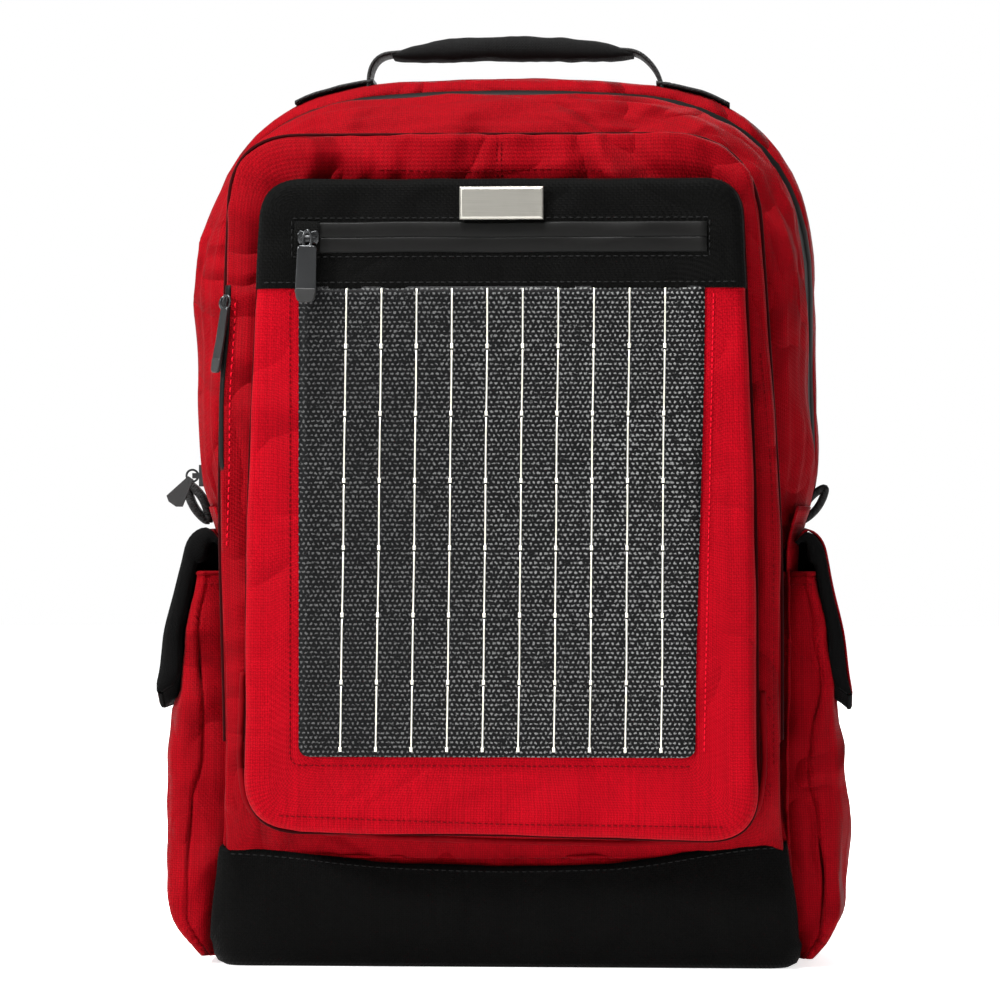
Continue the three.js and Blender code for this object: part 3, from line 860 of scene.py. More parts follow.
def make_back_pads():
    """Spacer-mesh pads with pressed channels, and the lumbar pad below them."""
    base = BACK[1].y + 1.5
    for side, name in ((1, "back_pad_right"), (-1, "back_pad_left"), (0, "lumbar_pad")):
        low, high = box(name)
        x0, x1 = low.x + 3, high.x - 3
        z0, z1 = low.z + 3, high.z - 3
        cut = 26 if side else 20
        middle = (x0 + x1) / 2
        corners = [
            (middle, z0, 0), (x1, z0, cut), (x1, z1, cut), (x0, z1, cut), (x0, z0, cut), (middle, z0, 0)
        ]
        outline = rounded(corners, 120)
        pad = slab(f"{name}_cushion", outline, base, high.y - 3.5, MESH)
        swell(pad, 5)
        pitch = 38 if side else 200

        def press(p):
            near_top = smooth(base + 4, base + 8, p.y)
            channel = 0.0
            for k in range(1, 9):
                z = z0 + k * pitch
                if z < z1 - 12 and side:
                    channel = max(channel, hump(z + abs(p.x - middle) * 0.25, 5, p.z))
            if not side:
                channel = max(hump(x0 + (x1 - x0) * t, 5, p.x) for t in (0.25, 0.5, 0.75))
            return -3.6 * channel * near_top

        ruffle(pad, press)
        place(pad, "bag", "black_mesh", name)
        rim = [Vector((p.x, base + 1.6, p.y)) for p in outline]
        edge = tube(f"{name}_binding", rim, 2.2, LINING, sides=8, closed=False)
        place(edge, "bag", "black_fabric")


def strap_line(count):
    """Middle, width and thickness of the right strap's pad from the yoke down to the ladder lock."""
    middle = [(52, 98, 431), (60, 121, 388), (86, 146, 318), (114, 143, 250), (127, 123, 202)]
    rough = []
    for k in range(len(middle) - 1):
        for t in range(12):
            rough.append(Vector(middle[k]).lerp(Vector(middle[k + 1]), t / 12))
    rough.append(Vector(middle[-1]))
    for _ in range(30):
        rough = [rough[0]] + [
            (rough[i - 1] + rough[i] * 2 + rough[i + 1]) / 4
            for i in range(1, len(rough) - 1)
        ] + [rough[-1]]
    line = resample(rough, count)
    widths = [(0, 46), (0.15, 52), (0.5, 60), (0.8, 54), (1.0, 30)]
    thicks = [(0, 9), (0.2, 11), (0.8, 11), (1.0, 7)]
    return [(p, along(widths, i / (count - 1)), along(thicks, i / (count - 1))) for i, p in enumerate(line)]


def strap_frame(line, i):
    """Across and outward directions of the strap at a place along it."""
    direction = (line[min(i + 1, len(line) - 1)][0] - line[max(i - 1, 0)][0]).normalized()
    across = Vector((1, 0, 0)) - direction * direction.x
    across.normalize()
    out = across.cross(direction)
    if out.y < 0:
        out = -out
    return direction, across, out


def make_strap(side):
    """A padded shoulder strap with bound edges, a webbing spine and a ladder lock's webbing below."""
    name = "right" if side > 0 else "left"
    body = f"strap_{name}"
    line = strap_line(60)
    rows = []
    count = 40
    for i, (p, wide, thick) in enumerate(line):
        direction, across, out = strap_frame(line, i)
        row = []
        for k in range(count):
            a = 2 * math.pi * k / count
            u = squared(math.cos(a), 0.6) * wide / 2
            v = squared(math.sin(a), 0.8) * thick / 2
            q = p + across * u + out * v
            row.append(Vector((side * q.x, q.y, q.z)))
        rows.append(row)
    pad = surface(f"strap_pad_{name}_cushion", capped(rows), MESH, closed=True)
    swell(pad, 2.5, voxel=4.0)
    place(pad, body, "black_mesh", f"strap_pad_{name}")
    # The bound edge all round, and the cloth face inside it.
    rim = []
    for sign, order in ((1, range(60)), (-1, range(59, -1, -1))):
        for i in order:
            p, wide, thick = line[i]
            direction, across, out = strap_frame(line, i)
            q = p + across * (sign * (wide / 2 + 1.0)) + out * 0.5
            rim.append(Vector((side * q.x, q.y, q.z)))
    place(tube(f"strap_binding_{name}", rim, 2.6, LINING, sides=8, closed=True), body, "black_fabric")
    find = finder(pad)
    face = []
    for u in [k / 12 for k in range(-12, 13)]:
        row = []
        for i in range(1, 59):
            p, wide, thick = line[i]
            direction, across, out = strap_frame(line, i)
            q = p + across * (u * (wide / 2 - 1.2))
            toward = Vector((-side * out.x, -out.y, -out.z))
            row.append(find((side * q.x, q.y, q.z), toward, 0.9))
        face.append(row)
    cloth = surface(f"strap_face_{name}", face, BLACK, thickness=1.0)
    place(cloth, body, "black_fabric")
    find = finder(cloth)
    spine = []
    normals = []
    for i in range(3, 58):
        p, wide, thick = line[i]
        direction, across, out = strap_frame(line, i)
        turned = Vector((side * out.x, out.y, out.z))
        spine.append(find((side * p.x, p.y, p.z), -turned, 1.2))
        normals.append(turned)
    web = ribbon(f"strap_spine_{name}", spine, normals, 20, 1.6, WEB)
    place(web, body, "black_webbing")
    threads = []
    for k in (6, 17, 29, 41, 51):
        direction = (spine[k + 1] - spine[k]).normalized()
        across = direction.cross(normals[k]).normalized()
        row = [spine[k] + across * u + normals[k] * 1.0 for u in (-8.5, -3, 3, 8.5)]
        threads.append(stitches("thread", row, BLACK_THREAD, normals[k], length=1.8, gap=0.4, radius=0.45))
    place(join(f"strap_bartacks_{name}", threads), body, "black_webbing")
    # Lower webbing from the ladder lock to the bag's corner, with a fold of itself behind the lock.
    lock = Vector((127, 121, 196))
    foot = Vector((164, 86, 47))
    up = (lock - foot).normalized()
    across = (Vector((1, 0, 0)) - up * up.x).normalized()
    out = across.cross(up)
    out = out if out.y > 0 else -out
    for start, end, lift, label in ((-6.0, None, 1.0, "lower"), (6.0, -44.0, 3.4, "tail")):
        points = []
        for k in range(26):
            t = k / 25
            if end is None:
                p = lock.lerp(foot + up * 2, t) + up * (start * (1 - t))
                sway = 1.6 * math.sin(math.pi * t)
            else:
                p = lock + up * mix(start, end, t)
                sway = 1.2 + 2.2 * t
            q = p + out * (lift + sway)
            points.append(Vector((side * q.x, q.y, q.z)))
        turned = Vector((side * out.x, out.y, out.z))
        web = ribbon(f"strap_webbing_{label}_{name}", points, [turned] * 26, 22, 1.8, WEB)
        place(web, body, "black_webbing", *([f"strap_webbing_{name}"] if end is None else []))
    # A stitched triangle of cloth holds the webbing in the side seam.
    low, high = box(f"strap_anchor_{name}")
    middle = (low + high) / 2
    rows = []
    for t in [k / 10 for k in range(11)]:
        half = mix(24, 11.5, t)
        centre = Vector(
            (
                side * mix(154, abs(foot.x) - 1, t), mix(BACK[1].y - 4, foot.y + 1.0, t),
                mix(middle.z - 10, foot.z + 6, t),
            )
        )
        rows.append(
            [
                centre + Vector((side * -0.25 * u * half, 0.1 * u * half, u * half * 0.8))
                for u in (-1, -0.5, 0, 0.5, 1)
            ]
        )
    patch = surface(f"strap_anchor_{name}_cloth", rows, BLACK, thickness=2.6)
    place(patch, "bag", "black_fabric", f"strap_anchor_{name}")


def make_yoke():
    """The yoke that both straps are sewn to, the folded root of each strap and the hang loop."""
    low, high = box("strap_yoke")
    middle = (low.z + high.z) / 2
    corners = [
        (0, low.z, 0), (high.x, low.z, 12), (high.x, high.z, 16), (low.x, high.z, 16), (low.x, low.z, 12),
        (0, low.z, 0),
    ]
    outline = rounded(corners, 120)
    yoke = slab("strap_yoke_quilt", outline, BACK[1].y + 0.8, high.y + 0.4, BLACK)
    ruffle(yoke, lambda p: 0.5 * wander(p, 30, 131))
    place(yoke, "bag", "black_fabric", "strap_yoke")
    find = finder(yoke)
    line = []
    for p in outline:
        shrunk = Vector((p.x * 0.95, 0, middle + (p.y - middle) * 0.86))
        line.append(find(shrunk, (0, -1, 0), 0.2))
    place(stitches("yoke_stitching", line, BLACK_THREAD, (0, 1, 0)), "bag", "black_fabric")
    for side, name in ((1, "right"), (-1, "left")):
        low, high = box(f"strap_root_{name}")
        rows = []
        for z, y0, y1 in (
            (434.4, 84, 103), (436, 83, 104), (444, 82.5, 99.5), (450, 82.5, 95), (453, 82.5, 90),
            (454, 82.5, 84),
        ):
            wide = mix(24, 25.5, (z - 434) / 20)
            row = []
            for k in range(24):
                a = 2 * math.pi * k / 24
                u = squared(math.cos(a), 0.35)
                v = squared(math.sin(a), 0.5)
                row.append(Vector((side * 52 + u * wide, mix(y0, y1, 0.5 + v / 2), z)))
            rows.append(row)
        root = surface(f"strap_root_{name}_fold", capped(rows), BLACK, closed=True)
        ruffle(root, lambda p: 0.3 * wander(p, 12, 132))
        place(root, "bag", "black_fabric", f"strap_root_{name}")
    loop = []
    for k in range(31):
        a = math.pi * k / 30
        loop.append(
            Vector((-13.5 * math.cos(a), BACK[1].y + 3 + 3.0 * math.sin(a), 455 + 22 * math.sin(a) ** 0.8))
        )
    normals = []
    for k in range(31):
        direction = loop[min(k + 1, 30)] - loop[max(k - 1, 0)]
        normals.append(direction.cross(Vector((0, 1, 0))))
    place(ribbon("hang_loop_webbing", loop, normals, 10, 2.2, WEB), "bag", "black_webbing", "hang_loop")


# Front half ------------------------------------------------------------------------------------

CREASE = POCKET[0].y + 2  # depth of the crease between the front pocket and the solar pocket


def lean(z, amount):
    return amount * smooth(WAIST - 10, WAIST + 90, z)


def front_arch(y, inset, drop, low):
    """A line round the front half at a depth, drawn in by inset at the sides and drop at the top."""
    line = arch_line(inset + 3, ZIP_CROWN, low, ARCH_POINTS, drop)
    return [Vector((p.x + lean(p.y, LEAN_FRONT), y, p.y)) for p in line]


def make_front_shell():
    """Red cloth from the zip to the front pocket, domed and gathered towards the pocket's seam."""
    zip_edge = box("main_zip_tape_front")[0].y
    insets = [(0, 1.5), (2, 0.0), (10, -1.0), (24, 0.5), (36, 5.0), (44, 11.0), (50, 19.0), (54, 26)]
    drops = [(0, 4.5), (2, 3.0), (10, 3.5), (24, 8.0), (36, 15.0), (44, 22.0), (50, 29.0), (54, 36)]
    rows = []
    steps = 36
    for i in range(steps):
        back = mix(0, 54, i / (steps - 1))
        rows.append(front_arch(zip_edge - min(back, 49), along(insets, back), along(drops, back), 66))
    shell = surface("front_shell", rows, RED_CLOTH_SHADED, thickness=1.6)

    def folds(p):
        back = zip_edge - p.y
        away = smooth(1, 10, back)
        top = smooth(395, 440, p.z)
        seam = smooth(24, 46, back)
        corner_right = hump(125, 60, p.x) * hump(425, 70, p.z)
        corner_left = hump(-135, 50, p.x) * hump(400, 60, p.z)
        across = Vector((p.x, p.y * 1.6, p.z))
        radial = Vector((p.x * 0.9, p.y * 0.3, p.z * 0.9))
        return (
            away * 1.6 * wander(p, 60, 7)
            + 2.4 * away * top * crinkle((p.x * 0.35, p.y * 1.7, p.z), 30, 9)
            + 4.2 * away * (corner_right + corner_left) * crinkle(across, 30, 13)
            + 1.2 * seam * top * wander(radial, 13, 11)
            + 2.6 * away * (1 - top) * crinkle((p.x, p.y * 0.8, p.z * 0.7), 46, 12)
        )

    ruffle(shell, folds)
    place(shell, "front", "red_fabric", "front_gusset")
    return shell


def ring_through(corners, y, count):
    """A closed outline at a depth, through corners given as (x, z, cut), from the middle of its bottom."""
    return [Vector((p.x, y, p.y)) for p in rounded(corners, count)]


RING_POINTS = 321
SOLAR_CORNERS = [
    (0, 75, 0),
    (134.5, 71.5, 27),
    (133.5, 250, 60),
    (125.5, 421, 19),
    (-127, 421, 20),
    (-135.5, 250, 60),
    (-136.5, 76, 29),
    (0, 75, 0),
]
PANEL_CORNERS = [
    (0, 60, 0),
    (149, 61, 3),
    (147, 96, 16),
    (147, 230, 50),
    (133, 446, 48),
    (-145, 446, 36),
    (-152, 262, 50),
    (-148, 112, 30),
    (-149.5, 60, 3),
    (0, 60, 0),
]


def drawn_in(line, inset):
    """Moves a closed outline inwards by inset, square to itself."""
    made = []
    last = len(line) - 1
    for i, p in enumerate(line):
        along_line = line[(i + 3) % last] - line[(i - 3) % last]
        inward = Vector((-along_line.z, 0, along_line.x)).normalized()
        made.append(p + inward * inset)
    made[-1] = made[0].copy()
    return made


def at_depth(line, y):
    return [Vector((p.x, y, p.z)) for p in line]


def make_front_pocket():
    """The big pocket that the solar pocket is sewn on to. Its front carries on down to the base."""
    front = POCKET[0].y + 3.5
    outline = ring_through(PANEL_CORNERS, 0, RING_POINTS)
    stations = [
        (WALL[0].y + 3, 1.0), (WALL[0].y - 4, 0.2), (front + 9, -0.3), (front + 3, 0.0), (front + 0.8, 0.8)
    ]
    stations.append((front, 2.8))
    rows = [at_depth(drawn_in(outline, inset), y) for y, inset in stations]
    filled = []
    for a, b in zip(rows, rows[1:]):
        filled += [[p.lerp(q, k / 4) for p, q in zip(a, b)] for k in range(4)]
    edge = rows[-1]
    inner = at_depth(drawn_in(ring_through(SOLAR_CORNERS, 0, RING_POINTS), 5), front)
    for k in range(15):
        t = k / 14
        puff = 1.6 * math.sin(math.pi * min(1, t * 1.25)) if t < 0.8 else -1.5 * (t - 0.8) / 0.2
        filled.append([p.lerp(q, t) + Vector((0, -puff, 0)) for p, q in zip(edge, inner)])
    for row in filled:
        for p in row:
            tucked = smooth(92, 60, p.z)
            p.y = mix(p.y, max(p.y, BASE[0].y + 1.5), tucked)
    pocket = surface("front_pocket_cloth", filled, RED_CLOTH_SHADED, thickness=1.4)
    close_ring(pocket)

    def folds(p):
        face = smooth(front + 8, front + 2, p.y)
        top = smooth(385, 425, p.z)
        low = smooth(100, 70, p.z)
        ribs = wander((p.x, p.y * 0.3, p.z * 0.1), 4.5, 22)
        return (
            1.5 * wander(p, 55, 21)
            + 2.0 * top * crinkle((p.x * 0.4, p.y, p.z * 1.3), 30, 24)
            + 0.4 * low * face * ribs * smooth(125, 105, abs(p.x))
            + 1.1 * wander((p.x * 1.6, p.y, p.z * 0.25), 18, 23)
        )

    ruffle(pocket, folds)
    place(pocket, "front", "red_fabric", "front_pocket")
    wall = []
    for k in range(8):
        wall.append(
            [
                Vector((p.x * (1 - 0.11 * k), WALL[0].y + 1.5, 260 + (p.z - 260) * (1 - 0.11 * k)))
                for p in outline
            ]
        )
    place(surface("front_wall_cloth", wall, RED_CLOTH_SHADED, thickness=2), "front", "red_fabric", "front_wall")
    return pocket


def make_pocket_details(pocket):
    """The lip under the solar pocket, the front pocket's piping and top seams, painted shadow lines along
    that top and around the solar pocket, and its side zip.
    """
    find = finder(pocket)
    lip = [
        (-139, 160), (-141, 112), (-138, 90), (-130, 80), (-118, 75), (-60, 71), (0, 69), (60, 68),
        (108, 70),
    ]
    lip += [(126, 77), (136, 87), (139, 110), (138, 150)]
    line = [find((p.x, 0, p.y), (0, 1, 0), 0.4) for p in rounded([(x, z, 9) for x, z in lip], 150)]
    fold = tube("pocket_lip", line, 1.7, RED_CLOTH_SHADED, sides=10)
    place(fold, "front", "red_fabric")
    ring = [p for p in ring_through(PANEL_CORNERS, 0, RING_POINTS) if p.z > 120]
    turn = max(range(len(ring)), key=lambda i: (ring[i] - ring[i - 1]).length)
    ring = ring[turn:] + ring[:turn]
    # The first tube is a dark line just outside the front pocket's top edge, a painted shadow; the second is
    # the pocket's piping.
    for depth, radius, name in (
        (POCKET[0].y + 10, 1.2, "pocket_painted_shadow"), (POCKET[0].y + 7, 0.8, "pocket_piping")
    ):
        out = 1.3 if radius == 1.2 else -0.2
        line = [Vector((p.x * (1 + out / 150), depth, p.z + out)) for p in ring]
        piece = tube(name, line, radius, PAINTED_SHADOW_LINE if radius == 1.2 else RED_CLOTH_SHADED, sides=8)
        place(piece, "front", "red_fabric")
    # A dark line around the solar pocket, a painted shadow in its crease.
    ring = [p for p in ring_through(SOLAR_CORNERS, 0, RING_POINTS)]
    line = [Vector((p.x * 1.006, CREASE - 1.5, 245 + (p.z - 245) * 1.005)) for p in ring]
    place(tube("solar_pocket_painted_shadow", line, 1.3, PAINTED_SHADOW_LINE, sides=8), "front", "red_fabric")
    parts = []
    for x in (-3.4, -1.0):
        seam = [find((x, 0, z), (0, 1, 0), 0.2) for z in range(424, 445, 2)]
        parts.append(stitches("thread", seam, THREAD_PAINTED_SHADE, (0, -1, 0), length=1.9, gap=1.0, radius=0.28))
    seam = [find((x, 0, 427.5 + 0.6 * math.sin(x / 14)), (0, 1, 0), 0.2) for x in range(-66, 56, 2)]
    parts.append(stitches("thread", seam, THREAD_PAINTED_SHADE, (0, -1, 0), length=2.2, gap=1.6, radius=0.28))
    line = [
        find((x, 0, z), (0, 1, 0), 0.2)
        for x, z in ((137, 330), (140, 300), (143, 260), (144, 220), (144, 110))
    ]
    parts.append(
        stitches("thread", resample(line, 60), THREAD_PAINTED_SHADE, (0, -1, 0), length=2.2, gap=1.6, radius=0.28)
    )
    for z in (144, 98):
        cross = [
            find((x, 0, z + up), (0, 1, 0), 0.2)
            for x, up in ((138, -3), (143, 3), (138, 3), (143, -3), (138, -3))
        ]
        parts.append(
            stitches("thread", resample(cross, 30), THREAD_PAINTED_SHADE, (0, -1, 0), length=1.9, gap=0.6, radius=0.28)
        )
    place(join("pocket_seams", parts), "front", "red_fabric")
    # The side zip: two coated tapes that meet in the rounded left edge and run under the cloth at the bottom.
    depth = POCKET[0].y + 6
    spots = ((-145.5, 367), (-147.2, 330), (-149, 290), (-150.2, 255), (-151, 226))
    path = resample([Vector((x, depth, z)) for x, z in spots], 60)
    toward = Vector((0.82, 0.57, 0))
    along_tape = Vector((0.57, -0.82, 0))
    grid = []
    for across, lift in (
        (-2.0, 0.1), (-1.6, 0.5), (-0.8, 0.6), (-0.4, 0.1), (0.4, 0.1), (0.8, 0.6), (1.6, 0.5), (2.0, 0.1)
    ):
        row = []
        for k, p in enumerate(path):
            row.append(find(p + along_tape * across, toward, lift - 2.6 * smooth(38, 48, k)))
        grid.append(row)
    place(add_thickness(surface("pocket_tape", grid, TAPE), 0.5), "front", "coated_tape", "pocket_zip_tape")
    welt = [find(p + along_tape * 4.6, toward, 0.35) for p in path]
    threads = stitches(
        "pocket_zip_stitching", welt[4:], THREAD_PAINTED_HIGHLIGHT, (-0.57, -0.82, 0), length=2.6, gap=1.5, radius=0.42
    )
    place(threads, "front", "red_fabric")
    return [find(p, toward, 1.2) for p in path]


SOLAR_STATIONS = [
    (CREASE + 5.0, 3.0),
    (CREASE + 1.5, 1.2),
    (CREASE - 2.5, 0.0),
    (CREASE - 11.0, 0.0),
    (CREASE - 15.0, 0.9),
    (CREASE - 16.8, 3.0),
    (CREASE - 17.3, 7.0),
    (CREASE - 17.4, 13.0),
]
FACE_Y = CREASE - 17.4
SOLAR_POINTS = RING_POINTS


def solar_ring(inset, y):
    return at_depth(drawn_in(ring_through(SOLAR_CORNERS, 0, SOLAR_POINTS), inset), y)


def solar_folds(p):
    """Gathers beside the solar pocket's seams. The cloth lies flat under the laminate and the header."""
    edge = 1 - smooth(CREASE - 17, CREASE - 10, p.y) * 0.5
    ribs = wander((p.x, p.y * 0.2, p.z * 0.05), 2.6, 31)
    sides = smooth(107, 113, abs(p.x)) * smooth(372, 350, p.z)
    low = smooth(112, 104, p.z)
    gathers = wander((p.x * 0.9, p.y * 0.3, p.z * 0.12), 3.4, 33)
    broad = wander(p, 45, 34)
    header = smooth(352, 370, p.z)
    dips = crinkle((p.x * 0.7, p.y, p.z * 1.3), 26, 35)
    return edge * (
        0.2 * sides * ribs + 0.16 * low * gathers + 1.5 * (sides + low) * broad + 0.8 * header * dips
    )


def make_solar_pocket():
    """The pocket in front, with the laminate in its window and the black header across its top."""
    rows = [solar_ring(inset, y) for y, inset in SOLAR_STATIONS]
    filled = []
    for a, b in zip(rows, rows[1:]):
        filled.append(a)
        filled.append([p.lerp(q, 0.5) for p, q in zip(a, b)])
    filled.append(rows[-1])
    for k in range(1, 27):
        scale = 1 - k / 27
        filled.append([Vector((p.x * scale, FACE_Y, 250 + (p.z - 250) * scale)) for p in rows[-1]])
    cloth = surface("solar_pocket_cloth", filled, RED, thickness=1.2)
    close_ring(cloth)
    ruffle(cloth, solar_folds)
    header = surface("header_cloth", filled, BLACK)
    ruffle(header, solar_folds)
    shape = bmesh.new()
    shape.from_mesh(header.data)
    everything = shape.verts[:] + shape.edges[:] + shape.faces[:]
    bmesh.ops.bisect_plane(
        shape, geom=everything, plane_co=(0, 0, HEADER[0].z * MM), plane_no=(0, 0, -1), clear_outer=True
    )
    shape.to_mesh(header.data)
    shape.free()
    shade_smooth(header.data)
    outward = Vector((0, 0, 1)).dot(cloth.data.vertices[SOLAR_POINTS * 4 + SOLAR_POINTS // 2].normal)
    direction = 1 if outward > 0 else -1
    ruffle(
        header,
        lambda p: direction * (0.9 + 0.35 * wander((p.x, 0, p.z * 1.6), 30, 36) * smooth(400, 417, p.z)),
    )
    add_thickness(header, 0.9)
    place(cloth, "front", "red_fabric", "solar_pocket")
    place(header, "front", "black_fabric", "header_panel")
    return cloth, header


# Solar laminate --------------------------------------------------------------------------------

RIBBON_COUNT = 10
RIBBON_FIRST = -82.0
RIBBON_PITCH = 18.72
CELL_ROWS = 7
PANEL = {"left": -107.5, "right_top": 107.5, "right_low": 102.5, "low": 116.0, "high": 365.0}


def panel_edge(z, right):
    if not right:
        return PANEL["left"]
    return mix(PANEL["right_low"], PANEL["right_top"], smooth(PANEL["low"], PANEL["high"], z))


def make_laminate():
    """The dotted laminate and its tinned ribbons."""
    y = FACE_Y - 1.5
    rows = []
    heights = [PANEL["low"] + 5.5 * k / 8 for k in range(8)]
    heights += [mix(PANEL["low"] + 5.5, PANEL["high"], k / 48) for k in range(49)]
    for z in heights:
        short = max(0.0, 5.5 - (z - PANEL["low"]))
        cut = 5.5 - math.sqrt(5.5**2 - short**2)
        left = panel_edge(z, False) + cut
        right = panel_edge(z, True) - cut
        row = []
        for i in range(41):
            x = mix(left, right, i / 40)
            dome = 0.5 * wander((x, 0, z), 90, 41)
            row.append(Vector((x, y - dome, z)))
        rows.append(row)
    face = surface("laminate_face", rows, LAMINATE)
    add_thickness(face, 0.8, -1)
    place(face, "front", "solar_clear", "solar_film", "solar_cells")
    find = finder(face)
    parts = []
    pitch = (PANEL["high"] - PANEL["low"]) / CELL_ROWS
    for k in range(RIBBON_COUNT):
        for c in range(CELL_ROWS):
            low = PANEL["low"] + 3 + c * pitch
            high = min(low + pitch - 1.1, PANEL["high"] - 1)
            line = []
            for t in range(6):
                z = mix(low, high, t / 5)
                share = (z - PANEL["low"]) / (PANEL["high"] - PANEL["low"])
                x = RIBBON_FIRST + k * RIBBON_PITCH + (1 - share) * (-3.4 + 0.15 * k)
                x += 0.35 * wander((k * 9, 0, z), 60, 43)
                line.append(find((x, 0, z), (0, 1, 0), 0.12))
            normals = [(0, -1, 0)] * 6
            parts.append(ribbon("ribbon", line, normals, 0.75, 0.25, RIBBON))
            tab = [find((line[0].x, 0, low + d), (0, 1, 0), 0.2) for d in (-0.2, 1.0, 2.2)]
            parts.append(ribbon("tab", tab, normals[:3], 1.5, 0.35, RIBBON))
    place(join("tinned_ribbons", parts), "front", "ribbon_metal", "solar_ribbons")
    return face


def make_window_stitching(cloth):
    """Thread round the window and along the solar pocket's lower edge. Its right side is the lit copy of the
    thread, a painted highlight; the rest is the shaded copy, painted shade.
    """
    find = finder(cloth)
    out = 4.6
    left = PANEL["left"] - out
    low = PANEL["low"] - out
    runs = (
        (THREAD_PAINTED_SHADE, [(left, PANEL["high"] - 3, 0), (left, low, 6), (PANEL["right_low"] - 2, low, 0)]),
        (
            THREAD_PAINTED_HIGHLIGHT,
            [(PANEL["right_low"] + out, low + 8, 0), (PANEL["right_top"] + out, PANEL["high"] - 3, 0)],
        ),
        (THREAD_PAINTED_SHADE, [(-118, 84.5, 0), (0, 80.5, 0), (118, 79.5, 0)]),
    )
    for number, (thread, corners) in enumerate(runs):
        line = [find((p.x, 0, p.y), (0, 1, 0), 0.25) for p in rounded(corners, 300)]
        row = stitches(
            f"window_stitching_{number}", line, thread, (0, -1, 0), length=1.7, gap=1.4, radius=0.34
        )
        place(row, "front", "red_fabric")


def make_header_details(header):
    """The coated zip in the header with its stitching and the garage at its left end."""
    find = finder(header)
    middle = (PANEL_ZIP[0].z + PANEL_ZIP[1].z) / 2
    left = PANEL_ZIP[0].x + 2
    right = PANEL_ZIP[1].x + 2
    rows = []
    for z_off, lift in ((-8, 0.1), (-7.2, 0.7), (-4, 0.9), (-1.0, 1.1), (-0.35, 0.75), (0, 0.35)):
        rows.append((z_off, lift))
    rows += [(-z, lift) for z, lift in reversed(rows[:-1])]
    grid = []
    for z_off, lift in rows:
        line = []
        for i in range(60):
            x = mix(left, right, i / 59)
            wave = 0.25 * wander((x, 0, 0), 24, 51)
            line.append(
                find((x, 0, middle + z_off + 0.4 * wander((x, 1, 0), 50, 52)), (0, 1, 0), lift + wave)
            )
        grid.append(line)
    tape = surface("header_zip_tape", grid, TAPE)
    add_thickness(tape, 0.4)
    place(tape, "front", "coated_tape", "panel_zip_tape")
    garage = []
    for z_off in (-8.2, -7.6, 0, 7.6, 8.2):
        lift = 0.5 if abs(z_off) > 8 else 1.7
        garage.append(
            [find((left - 1 + 13.5 * i / 8, 0, middle + z_off), (0, 1, 0), lift) for i in range(9)]
        )
    place(add_thickness(surface("zip_garage", garage, BLACK), 0.8), "front", "black_fabric")
    threads = []
    for z_off in (-10.2, 10.2):
        line = [
            find((mix(left - 2, right + 2, i / 80), 0, middle + z_off), (0, 1, 0), 0.1)
            for i in range(81)
        ]
        threads.append(stitches("thread", line, BLACK_THREAD, (0, -1, 0)))
    for x in (right + 1.5, left - 2.5):
        line = [find((x, 0, middle - 10 + 20 * i / 10), (0, 1, 0), 0.1) for i in range(11)]
        threads.append(stitches("thread", line, BLACK_THREAD, (0, -1, 0)))
    low = [find((mix(-126, 125, i / 100), 0, HEADER[0].z + 3.2), (0, 1, 0), 0.1) for i in range(101)]
    threads.append(stitches("thread", low, BLACK_THREAD, (0, -1, 0)))
    place(join("header_stitching", threads), "front", "black_fabric")


def make_name_plate():
    """A blank satin plate with a bevelled rim, over the top edge of the header."""
    low, high = PLATE
    shape = bmesh.new()
    bmesh.ops.create_cube(shape, size=1)
    size = high - low
    centre = (low + high) / 2 + Vector((0, -1.2, 0))
    for vertex in shape.verts:
        vertex.co = Vector((vertex.co.x * size.x, vertex.co.y * size.y, vertex.co.z * size.z)) + centre
        vertex.co *= MM
    front = [e for e in shape.edges if all(v.co.y < centre.y * MM for v in e.verts)]
    bmesh.ops.bevel(shape, geom=front, offset=1.5 * MM, segments=3, profile=0.4, affect="EDGES")
    mesh = bpy.data.meshes.new("name_plate_blank")
    shape.to_mesh(mesh)
    shape.free()
    mesh.materials.append(SILVER)
    plate = bpy.data.objects.new("name_plate_blank", mesh)
    bpy.context.scene.collection.objects.link(plate)
    place(plate, "front", "plate_metal", "name_plate")



# Base ------------------------------------------------------------------------------------------


def base_top(x):
    """Height of the base's wavy top edge in front."""
    return 56.5 + 12.0 * smooth(50, 150, x) + 7.5 * smooth(-50, -150, x) - 1.5 * hump(0, 70, x)


def plan_line(half, front, rear, cut, count):
    """The base's outline seen from above, from the rear right round the front to the rear left."""
    corners = [(half, rear, 0), (half, front, cut), (-half, front, cut), (-half, rear, 0)]
    return rounded(corners, count)


